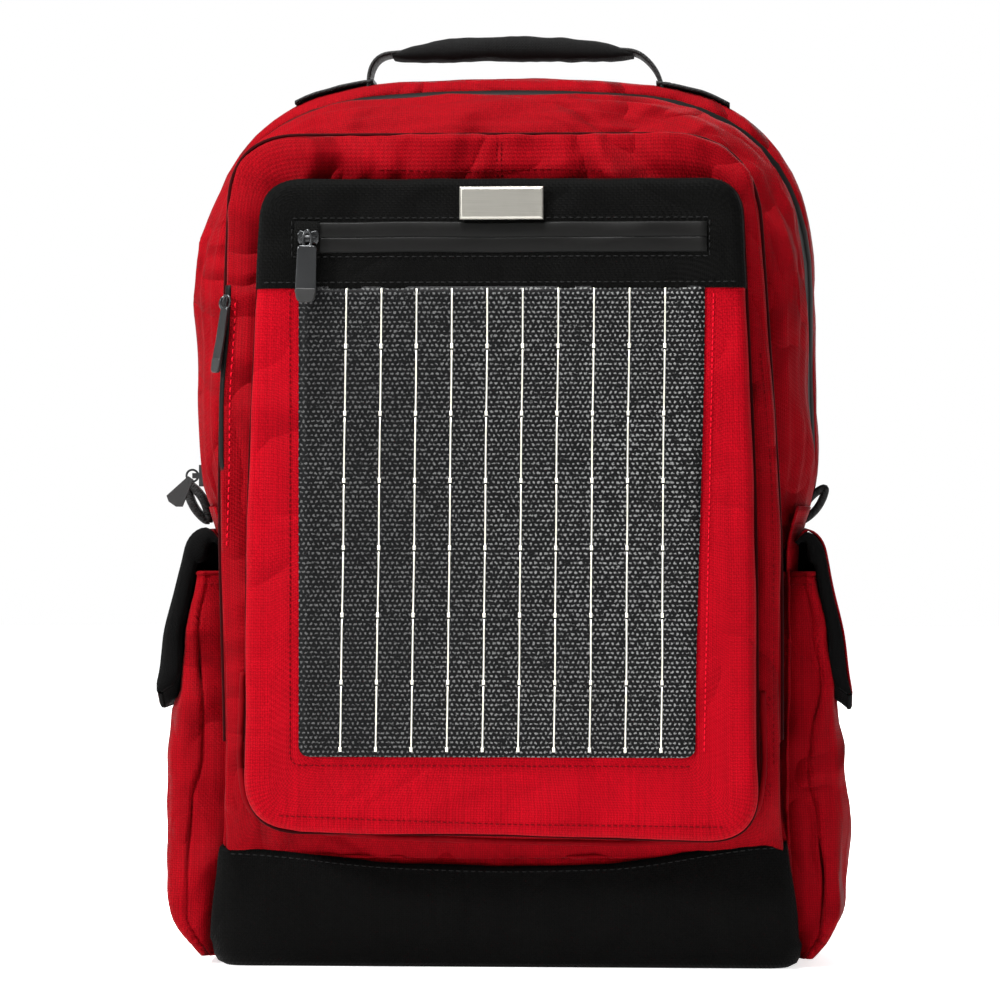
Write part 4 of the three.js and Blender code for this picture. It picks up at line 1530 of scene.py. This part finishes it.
def make_base():
    """The black base: a tray with a rounded bottom edge, leaning sides and a wavy, stitched top edge."""
    count = 161
    front = BASE[0].y
    rear = BACK[0].y + 6
    rows = []
    for inset, z in ((34, 0.3), (12, 0.2), (6.0, 0.8), (2.4, 3.0), (0.8, 6.5), (0.2, 12)):
        rows.append([Vector((p.x, p.y, z)) for p in plan_line(159 - inset, front + inset, rear, 14, count)])
    for i in range(1, 17):
        t = i / 16
        bulge = 1.2 * math.sin(t * math.pi)
        line = plan_line(mix(158.8, 152.8, t) + bulge * 0.4, front - bulge, rear, mix(14, 5, t), count)
        rows.append([Vector((p.x - 1.5, p.y, mix(12, base_top(p.x), t))) for p in line])
    rows.append(
        [
            Vector((p.x - 1.5, p.y, base_top(p.x) - 0.6))
            for p in plan_line(151.2, front + 1.6, rear, 5, count)
        ]
    )
    base = surface("base_cloth", rows, BLACK, thickness=1.2)

    def folds(p):
        top_edge = smooth(14, 4, base_top(p.x) - p.z)
        wall = smooth(4, 14, p.z)
        return wall * (
            0.9 * wander(p, 44, 61) + 0.5 * crinkle(p, 40, 63)
        ) + 0.35 * top_edge * wander(p, 9, 62)

    ruffle(base, folds)
    place(base, "bag", "black_fabric", "base_panel")
    find = finder(base)
    line = [find((x, 0, base_top(x) - 2.8), (0, 1, 0), 0.15) for x in range(-148, 147, 2)]
    threads = stitches("base_stitching", line, BLACK_THREAD, (0, -1, 0), length=2.4, gap=1.5)
    place(threads, "bag", "black_fabric")
    # The same cloth turned up over the foot of the back.
    rows = []
    depth = BACK[1].y
    for back, z, inset in (
        (-22, 0.3, 8), (-6, 0.3, 3), (0, 1.2, 1), (2.4, 4, 0.3), (2.8, 10, 0), (2.8, 19, 0), (2.6, 24, 1.5)
    ):
        rows.append([Vector((x * (157 - inset) / 40, depth + back, z)) for x in range(-40, 41)])
    turned = surface("base_rear_cloth", rows, BLACK, thickness=1.2)
    ruffle(turned, lambda p: 0.5 * wander(p, 30, 64) * smooth(3, 9, p.z))
    place(turned, "bag", "black_fabric")


def make_divider():
    """The padded sleeve wall that a laptop stands behind."""
    low, high = box("laptop_divider")
    middle = (low.x + high.x) / 2
    corners = [
        (middle, low.z, 0), (high.x, low.z, 6), (high.x, high.z, 22), (low.x, high.z, 22), (low.x, low.z, 6)
    ]
    outline = rounded(corners + [(middle, low.z, 0)], 120)
    wall = slab("divider_cushion", outline, low.y, high.y, LINING)
    ruffle(wall, lambda p: 0.5 * wander(p, 50, 141))
    place(wall, "bag", "black_fabric", "laptop_divider")


def make_skirt():
    """Red cloth between the base and the front pocket."""
    count = 161
    rows = []
    for i in range(22):
        t = i / 21
        z = mix(44, 112, t)
        y = mix(BASE[0].y + 2.5, WALL[0].y - 0.5, smooth(0.1, 0.75, t))
        half = mix(153.5, 152.0, t)
        line = plan_line(half, y, 12, 17, count)
        rows.append([Vector((p.x, p.y, z)) for p in line])
    skirt = surface("front_skirt", rows, RED_CLOTH_SHADED, thickness=1.4)
    ruffle(
        skirt,
        lambda p: 1.0 * wander((p.x, p.y, p.z * 0.5), 30, 71) + 0.7 * wander((p.x, p.y, p.z * 0.2), 9, 72),
    )
    spread(skirt, ("bag", "front"), (0, 0, 56), (0, 0, 84), "red_fabric")


def make_side_web(side):
    """The cloth below the end of the main zip, from the rear half to the front half."""
    name = "right" if side > 0 else "left"
    rows = []
    for i in range(44):
        z = mix(40, WAIST + 12, i / 43)
        wide = HALF_BASE + 1 + (HALF - HALF_BASE - 4) * smooth(WAIST - 12, WAIST + 26, z)
        row = []
        for k in range(34):
            t = k / 33
            y = mix(20, WALL[0].y - 1, t)
            x = wide - 6 * smooth(0.55, 1.0, t) ** 2
            row.append(Vector((side * x - 2 * smooth(WAIST, WAIST + 120, z), y, z)))
        rows.append(row)
    web = surface(f"side_web_{name}", rows, RED_CLOTH_SHADED, thickness=1.4)
    ruffle(web, lambda p: 1.0 * wander((p.x, p.y, p.z * 0.4), 30, 81 + side) + 0.5 * wander(p, 12, 83))
    spread(web, ("bag", "front"), (0, 4, 0), (0, WALL[0].y + 4, 0), "red_fabric", f"side_wall_{name}")


# Side pockets and flaps ------------------------------------------------------------------------


def make_side_pocket(side):
    """A bellows pocket: stitched hem, full at the bottom, with a deep pleat down its front corner."""
    name = "right" if side > 0 else "left"
    low, high = box(f"side_pocket_{name}")
    count = 141
    # Height against how far the pocket's outer corner and its inner seam stand from the middle.
    if side > 0:
        outer = [(3, 174), (12, 180), (40, 182), (72, 185), (110, 181), (150, 177), (180, 172), (213, 167)]
        seam = [(0, 159), (60, 151), (110, 148), (160, 148), (213, 146.5)]
        pleat = [(0, 168), (45, 171), (80, 168), (103, 163), (125, 165), (150, 170), (180, 168), (213, 165)]
    else:
        outer = [
            (3, 176), (12, 181), (40, 184), (90, 185.5), (110, 185), (135, 182), (150, 178), (180, 174),
            (213, 169),
        ]
        seam = [(0, 159), (60, 153), (110, 151), (160, 152), (213, 153)]
        pleat = [
            (0, 176), (45, 174), (90, 171), (112, 165.5), (140, 165), (165, 167), (190, 168.5), (213, 168)
        ]
    front = low.y - 7
    rear = high.y + 2
    rows = []
    for i in range(56):
        t = i / 55
        z = mix(low.z, high.z, t)
        wide = along(outer, z)
        fold = along(pleat, z)
        base = along(seam, z)
        tuck = 8 * smooth(high.z - 6, high.z - 40, z) * smooth(-5, 24, z)
        close = 1 - 0.55 * smooth(30, -4, z - low.z) ** 1.5
        full = mix(base, wide, close)
        corners = [
            (base - 2, rear + 2, 0),
            (full, rear - 1, 13),
            (full + 0.5, front + 12, 12),
            (mix(min(fold, full - 6), full, 0.75), front, 5),
            (min(fold, full - 6) + 1.2, front - 1.2, 1.0),
            (min(fold, full - 6) + 0.2, front + tuck, 0.3),
            (min(fold, full - 6) - 0.8, front + 0.4, 1.0),
            (base + 5, front + 1.5, 5),
            (base - 3, front + 8, 0),
        ]
        rows.append([Vector((side * p.x, p.y, z)) for p in rounded(corners, count)])
    floor = []
    for p in rows[0]:
        floor.append(
            Vector((side * mix(abs(p.x), 150, 0.55), mix(p.y, (front + rear) / 2, 0.3), low.z - 0.5))
        )
    pocket = surface(f"side_pocket_{name}_cloth", [floor] + rows, RED_CLOTH_SHADED, thickness=1.6)
    out = 1 if pocket.data.vertices[20 * count + 35].normal.x * side > 0 else -1

    def folds(p):
        free = smooth(high.z - 4, high.z - 30, p.z) * smooth(low.z, low.z + 16, p.z)
        return out * (
            free * (
                1.6 * wander((p.x, p.y, p.z * 0.5), 30, 92) + 2.0 * crinkle(
                    (p.x, p.y, p.z * 0.6), 34, 94 + side
                )
            )
            + 0.35 * wander(p, 10, 93)
        )

    ruffle(pocket, folds)
    place(pocket, "bag", "red_fabric", f"side_pocket_{name}")
    hem = [p + Vector((side * 0.2, 0, -0.8)) for p in rows[-1]]
    place(tube(f"pocket_hem_{name}", hem, 1.3, RED_CLOTH_SHADED, sides=8), "bag", "red_fabric")
    find = finder(pocket)
    threads = []
    line = [find((side * x, 0, high.z - 6.5), (0, 1, 0), 0.2) for x in range(150, 167)]
    threads.append(stitches("thread", line, THREAD_PAINTED_SHADE, (0, -1, 0), length=2.0, gap=1.3, radius=0.3))
    line = [find((0, y, high.z - 6.5), (-side, 0, 0), 0.2) for y in range(int(front) + 18, int(rear) - 10)]
    threads.append(stitches("thread", line, THREAD_PAINTED_SHADE, (side, 0, 0), length=2.0, gap=1.3, radius=0.3))
    place(join(f"pocket_stitching_{name}", threads), "bag", "red_fabric")


def make_side_flap(side):
    """The flap over a side pocket: red outside, black inside, with a thick black bound front edge."""
    name = "right" if side > 0 else "left"
    low, high = box(f"side_flap_{name}")
    push = 0 if side > 0 else 3
    corners = [(156, 229, 0), (162, 237, 5), (171 + push * 0.6, 232, 9), (178 + push, 198, 30)]
    corners += [(183 + push, 176, 15), (187 + push, 140, 0)]
    line = rounded(corners, 44)
    thick = [(0, 1.5), (0.15, 6), (0.35, 7), (0.6, 8), (0.85, 10), (0.95, 8), (1.0, 2.5)]
    outer = []
    lining_rows = []
    for i, p in enumerate(line):
        t = i / 43
        direction = line[min(i + 1, 43)] - line[max(i - 1, 0)]
        inward = Vector((direction.y, -direction.x)).normalized() * along(thick, t)
        sunk = 9 * hump(0.16, 0.16, t)
        row = []
        inner = []
        for k in range(33):
            u = k / 32
            corner = 8 * smooth(0.78, 1.0, t) * (smooth(0.12, 0.0, u) + smooth(0.88, 1.0, u))
            sag = 0.9 * wander((p.x, 60 * u, p.y), 24, 101 + side) * smooth(0.1, 0.4, t)
            y = mix(low.y - 3, high.y, u)
            row.append(Vector((side * (p.x + sag), y, p.y + corner)))
            inner.append(Vector((side * (p.x + inward.x + sag), y, p.y + inward.y - sunk + corner)))
        outer.append(row)
        lining_rows.append(inner)
    cloth = surface(f"side_flap_{name}_cloth", outer, RED_CLOTH_SHADED, thickness=1.0)
    lining = surface(f"side_flap_{name}_lining", lining_rows, LINING, thickness=0.9)
    edges = []
    for k, push_y in ((0, -2.2), (-1, 2.2)):
        rows = []
        for a, b in zip(outer, lining_rows):
            bulge = Vector((0, push_y, 0))
            first = a[k].lerp(b[k], 0.14 if side > 0 else -0.12)
            rows.append([first, a[k].lerp(b[k], 0.2) + bulge, a[k].lerp(b[k], 0.8) + bulge, b[k]])
        edges.append(surface("edge", rows, LINING, thickness=0.8))
    tip = []
    for a, b in zip(outer[-1], lining_rows[-1]):
        tip.append([a, a.lerp(b, 0.25) + Vector((0, 0, -1.2)), a.lerp(b, 0.75) + Vector((0, 0, -1.2)), b])
    edges.append(surface("edge", tip, LINING, thickness=0.8))
    for piece in edges:
        apply_modifiers(piece)
    binding = join(f"side_flap_{name}_binding", edges)
    rows = []
    for z, reach in ((203, 172), (212, 171), (222, 170), (229, 166), (233, 160)):
        rows.append(
            [Vector((side * mix(150, reach + push, k / 8), -24 + 3 * (k % 2), z)) for k in range(9)]
        )
    mouth = surface(f"side_pocket_{name}_lining", rows, LINING, thickness=1.2)
    place(mouth, "bag", "black_fabric")
    pivot = (0, 0, high.z + 6)
    hang = (0, 0, high.z - 6)
    for piece, slot in ((cloth, "red_fabric"), (lining, "black_fabric"), (binding, "black_fabric")):
        spread(piece, ("bag", f"side_flap_{name}"), pivot, hang, slot)
    length = sum((b - a).length for a, b in zip(line, line[1:])) * MM
    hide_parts(f"side_flap_{name}", f"side_flap_root_{name}")


# Handle ----------------------------------------------------------------------------------------

HANDLE_Y = (WEBBING[0].y + WEBBING[1].y) / 2


def handle_line(count):
    """The webbing's middle line, up from the left seam, along the top and down to the right seam."""
    corners = [
        (-81, 479, 0), (-80.5, 494, 7), (-74, 501.5, 6), (0, 507.5, 40), (70, 502.5, 6), (81, 492, 8),
        (84, 479, 0),
    ]
    return [Vector((p.x, HANDLE_Y, p.y)) for p in rounded(corners, count)]


def make_handle(shell):
    """Webbing with a padded sleeve, and its ends sewn down along the top of the bag."""
    line = handle_line(90)
    normals = []
    for i in range(90):
        direction = line[min(i + 1, 89)] - line[max(i - 1, 0)]
        normals.append(direction.cross(Vector((0, -1, 0))))
    web = ribbon("handle_web", line, normals, 25, 2.2, WEB)
    spread(web, ("bag", "handle"), (0, 0, 482), (0, 0, 497), "black_webbing", "handle_webbing")
    low, high = GRIP
    rows = []
    count = 36
    for i in range(70):
        t = i / 69
        x = mix(low.x - 1, high.x + 1, t)
        rise = 505.0 - 4.3 * abs(2 * t - 1) ** 2.2
        tall = 5.4 * (1 - abs(2 * t - 1) ** 5) * (0.75 + 0.25 * math.sin(math.pi * t)) + 1.3
        wide = 14.5 - 2.5 * abs(2 * t - 1) ** 6
        row = []
        for k in range(count):
            a = 2 * math.pi * k / count
            square = 0.35
            cy = squared(math.cos(a), 1 - square)
            cz = squared(math.sin(a), 1 - square)
            crease = 0.7 * wander((x, k * 0.8, 0), 7, 111) + 0.8 * wander((x, k * 0.5, 4), 18, 112)
            row.append(Vector((x, HANDLE_Y + wide * cy, rise + (tall + crease * abs(cz)) * cz)))
        rows.append(row)
    grip = surface("handle_sleeve", rows, GRIP_CLOTH, closed=True)
    place(grip, "handle", "black_fabric", "handle_grip")
    find = finder(shell)
    for side, x0, x1 in ((1, 80, 121), (-1, -122, -78)):
        name = "right" if side > 0 else "left"
        spots = [find((mix(x0, x1, i / 16), HANDLE_Y, 0), (0, 0, -1), 1.4) for i in range(17)]
        tab = ribbon(f"handle_tab_{name}", spots, [(0, 0, 1)] * 17, 26, 2.2, WEB)
        place(tab, "bag", "black_webbing", f"handle_anchor_{name}")
        inner = x0 + side * 5 if side > 0 else x1 - 5
        outer = x1 - 5 if side > 0 else x0 + 5
        box_path = [
            (inner, -9), (outer, -9), (outer, 9), (inner, 9), (inner, -9), (outer, 9), (outer, -9),
            (inner, 9),
        ]
        path = []
        for (xa, ya), (xb, yb) in zip(box_path, box_path[1:]):
            for k in range(8):
                path.append(find((mix(xa, xb, k / 8), HANDLE_Y + mix(ya, yb, k / 8), 0), (0, 0, -1), 2.7))
        place(stitches(f"handle_stitching_{name}", path, BLACK_THREAD, (0, 0, 1)), "bag", "black_webbing")


# Main zip --------------------------------------------------------------------------------------


def make_main_zip():
    """Two coated tapes that meet in a fine line round the arch. They slope up from front to rear."""
    front_low, front_high = box("main_zip_tape_front")
    rear_low, rear_high = box("main_zip_tape_rear")
    low = WAIST + 4
    parts = (
        (
            "front", "front", (front_low.y - 1.5, front_low.y, front_high.y - 0.5, front_high.y),
            (4.2, 3.0, 1.6, 2.6),
        ),
        (
            "rear", "bag", (rear_high.y + 1.5, rear_high.y, rear_low.y + 0.5, rear_low.y),
            (-2.5, -1.8, 1.2, 2.2),
        ),
    )
    for name, body, depths, drops in parts:
        rows = []
        for y, drop in zip(depths, drops):
            leaning = mix(LEAN_FRONT, LEAN_REAR, smooth(front_low.y, rear_high.y, y))
            line = arch_line(max(drop * 0.7, 0) + 0.8, ZIP_CROWN, low, ARCH_POINTS, drop)
            rows.append([Vector((p.x + lean(p.y, leaning), y, p.y)) for p in line])
        tape = surface(f"main_tape_{name}", rows, TAPE, thickness=1.0)
        ruffle(tape, lambda p: 0.2 * wander(p, 30, 121))
        place(tape, body, "coated_tape", f"main_zip_tape_{name}")


def blade(name, top, direction, out, length, wide_top, wide_low, thick, material):
    """A flat puller blade with rounded corners and softened edges."""
    direction = Vector(direction).normalized()
    out = Vector(out).normalized()
    side = direction.cross(out).normalized()
    corners = [(0, -0.5, 1.6), (0, 0.5, 1.6), (1, 0.5, 2.6), (1, -0.5, 2.6)]
    shape = [(t * length, half * mix(wide_top, wide_low, t), cut) for t, half, cut in corners]
    shape.append(shape[0])
    shape = [
        ((shape[0][0] + shape[1][0]) / 2, (shape[0][1] + shape[1][1]) / 2, 0)
    ] + shape[1:-1] + [shape[0]]
    shape.append((shape[0][0], shape[0][1], 0))
    line = rounded(shape, 61)
    middle = Vector((length / 2, 0))
    rows = []
    for lift, inset in (
        (-0.5, 0.5), (-0.35, 0.0), (0.35, 0.0), (0.48, 0.35), (0.5, 0.6), (0.5, 0.9), (0.5, 99)
    ):
        row = []
        for p in line:
            q = p + (middle - p) * min(1, inset * 1.2 / max((middle - p).length, 0.1))
            row.append(Vector(top) + direction * q.x + side * q.y + out * (lift * thick))
        rows.append(row)
    rows.insert(0, [p - out * 0 for p in [Vector(top) + direction * middle.x - out * (0.5 * thick)] * 61])
    return surface(name, rows, material)


def wire_loop(name, centre, across, up, half_wide, half_tall, radius, material):
    """A closed wire loop about a centre, as wide along across as it is tall along up."""
    across = Vector(across).normalized()
    up = Vector(up).normalized()
    points = []
    for k in range(28):
        a = 2 * math.pi * k / 28
        points.append(Vector(centre) + across * (math.cos(a) * half_wide) + up * (math.sin(a) * half_tall))
    return tube(name, points, radius, material, sides=8, closed=True)


def slider_piece(name, centre, along_zip, out, length, width, material):
    """A zip slider: a waisted plate on the tape with a bridge over its middle."""
    along_zip = Vector(along_zip).normalized()
    out = Vector(out).normalized()
    side = along_zip.cross(out).normalized()
    rows = []
    for t in [k / 12 for k in range(13)]:
        half = width / 2 * (0.72 + 0.28 * abs(2 * t - 1) ** 1.5) * (
            1 - 0.5 * smooth(0.88, 1.0, abs(2 * t - 1))
        )
        row = []
        for k in range(16):
            a = 2 * math.pi * k / 16
            across = squared(math.cos(a), 0.5) * half
            lift = squared(math.sin(a), 0.5) * 1.1
            row.append(Vector(centre) + along_zip * ((t - 0.5) * length) + side * across + out * lift)
        rows.append(row)
    body = surface(name, rows, material, closed=True)
    bridge = []
    for k in range(13):
        a = math.pi * k / 12
        bridge.append(
            Vector(centre) + along_zip * (math.cos(a) * length * 0.36) + out * (0.8 + math.sin(a) * 2.4)
        )
    return join(name, [body, tube("bridge", bridge, 0.75, material, sides=8)])


def make_pocket_slider(zip_line):
    """The small slider at the top of the side zip, with its wire ring and slim hanging blade."""
    out = Vector((-0.82, -0.57, 0))
    spot = zip_line[4]
    slider = slider_piece("pocket_slider_body", spot, (0.1, 0, 1), out, 9, 5, METAL)
    place(slider, "pocket_slider", "slider_metal", "pocket_slider")
    hook = spot + Vector((1.2, -3.4, 2.5))
    down = Vector((-0.16, 0.02, -1))
    ring = wire_loop("ring", hook + down * 2.4, (1, -0.6, 0), down, 2.6, 3.8, 0.55, METAL)
    tab = blade("blade", hook + down * 4.6, down, (-0.72, -0.7, 0), 34, 5.6, 6.6, 1.9, METAL)
    grip = blade("grip", hook + down * 32, down, (-0.72, -0.7, 0), 8, 6.9, 6.0, 2.6, RUBBER)
    place(join("pocket_puller_blade", [ring, tab, grip]), "pocket_puller", "slider_metal", "pocket_puller")


def make_panel_slider():
    """The slider of the header's zip at the left, and its satin blade with a rubber tip."""
    low, high = box("panel_slider")
    centre = (low + high) / 2
    y = high.y - 2.2
    slider = slider_piece("panel_slider_body", (centre.x, y, centre.z), (1, 0, 0), (0, -1, 0), 11, 8, METAL)
    place(slider, "panel_slider", "slider_metal", "panel_slider")
    hook = Vector((centre.x - 0.2, y - 3.0, centre.z + 1.8))
    down = Vector((-0.03, -0.03, -1))
    neck = wire_loop("neck", hook + down * 3.2, (1, 0, 0), down, 2.2, 4.6, 0.9, METAL)
    tab = blade("blade", hook + down * 6.4, down, (0, -1, 0.03), 26, 10.2, 11.2, 2.2, METAL)
    tip = blade("tip", hook + down * 29, down, (0, -1, 0.03), 7.4, 11.8, 9.0, 3.0, RUBBER)
    place(join("panel_puller_blade", [neck, tab, tip]), "panel_puller", "slider_metal", "panel_puller")


def make_zip_ends():
    """A folded webbing loop sewn below each end of the main zip."""
    for name, foot, tip in (
        ("right", (160, 240.5), (173.5, 258.5)), ("left", (-170.5, 240.5), (-181.5, 260.5))
    ):
        low, high = box(f"zip_end_tab_{name}")
        y = (low.y + high.y) / 2
        start = Vector((foot[0], y, foot[1]))
        end = Vector((tip[0], y, tip[1]))
        reach = (end - start).length
        forward = (end - start).normalized()
        across = Vector((forward.z, 0, -forward.x))
        points = []
        for k in range(33):
            a = 2 * math.pi * k / 32
            along_loop = reach * (0.5 - 0.5 * math.cos(a))
            fat = 3.3 * math.sin(a) * (0.72 + 0.28 * math.sin(math.pi * along_loop / reach))
            points.append(start + forward * along_loop + across * fat)
        normals = []
        for k in range(33):
            direction = points[min(k + 1, 32)] - points[max(k - 1, 0)]
            normals.append(direction.cross(Vector((0, 1, 0))))
        loop = ribbon(f"zip_loop_{name}", points, normals, 12, 4.2, WEB)
        place(loop, "bag", "black_webbing", f"zip_end_tab_{name}")


def paint_nodes():
    """Gives the CAD nodes that stay in view their procedural materials."""
    looks = {
        "main_slider": METAL,
        "main_ring": METAL,
        "main_puller": RUBBER,
        "base_stiffener": SHEET,
        "controller_case": PLASTIC,
        "controller_lid": PLASTIC,
        "controller_board": BOARD,
        "usb_port": PORT,
        "ladder_lock_right": PLASTIC,
        "ladder_lock_left": PLASTIC,
        "solar_backsheet": BACKING,
    }
    for name, material in looks.items():
        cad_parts[name].material_slots[0].material = material


bpy.context.scene.view_settings.view_transform = "Standard"
make_camera()
make_studio()
paint_nodes()
rear_shell = make_rear_shell()
make_back_face()
make_back_pads()
make_yoke()
make_front_shell()
front_pocket = make_front_pocket()
make_pocket_slider(make_pocket_details(front_pocket))
make_panel_slider()
make_zip_ends()
solar_cloth, header_cloth = make_solar_pocket()
make_laminate()
make_window_stitching(solar_cloth)
make_header_details(header_cloth)
make_name_plate()
make_base()
make_divider()
make_skirt()
make_main_zip()
for side in (1, -1):
    make_side_web(side)
    make_side_pocket(side)
    make_side_flap(side)
    make_strap(side)
make_handle(rear_shell)
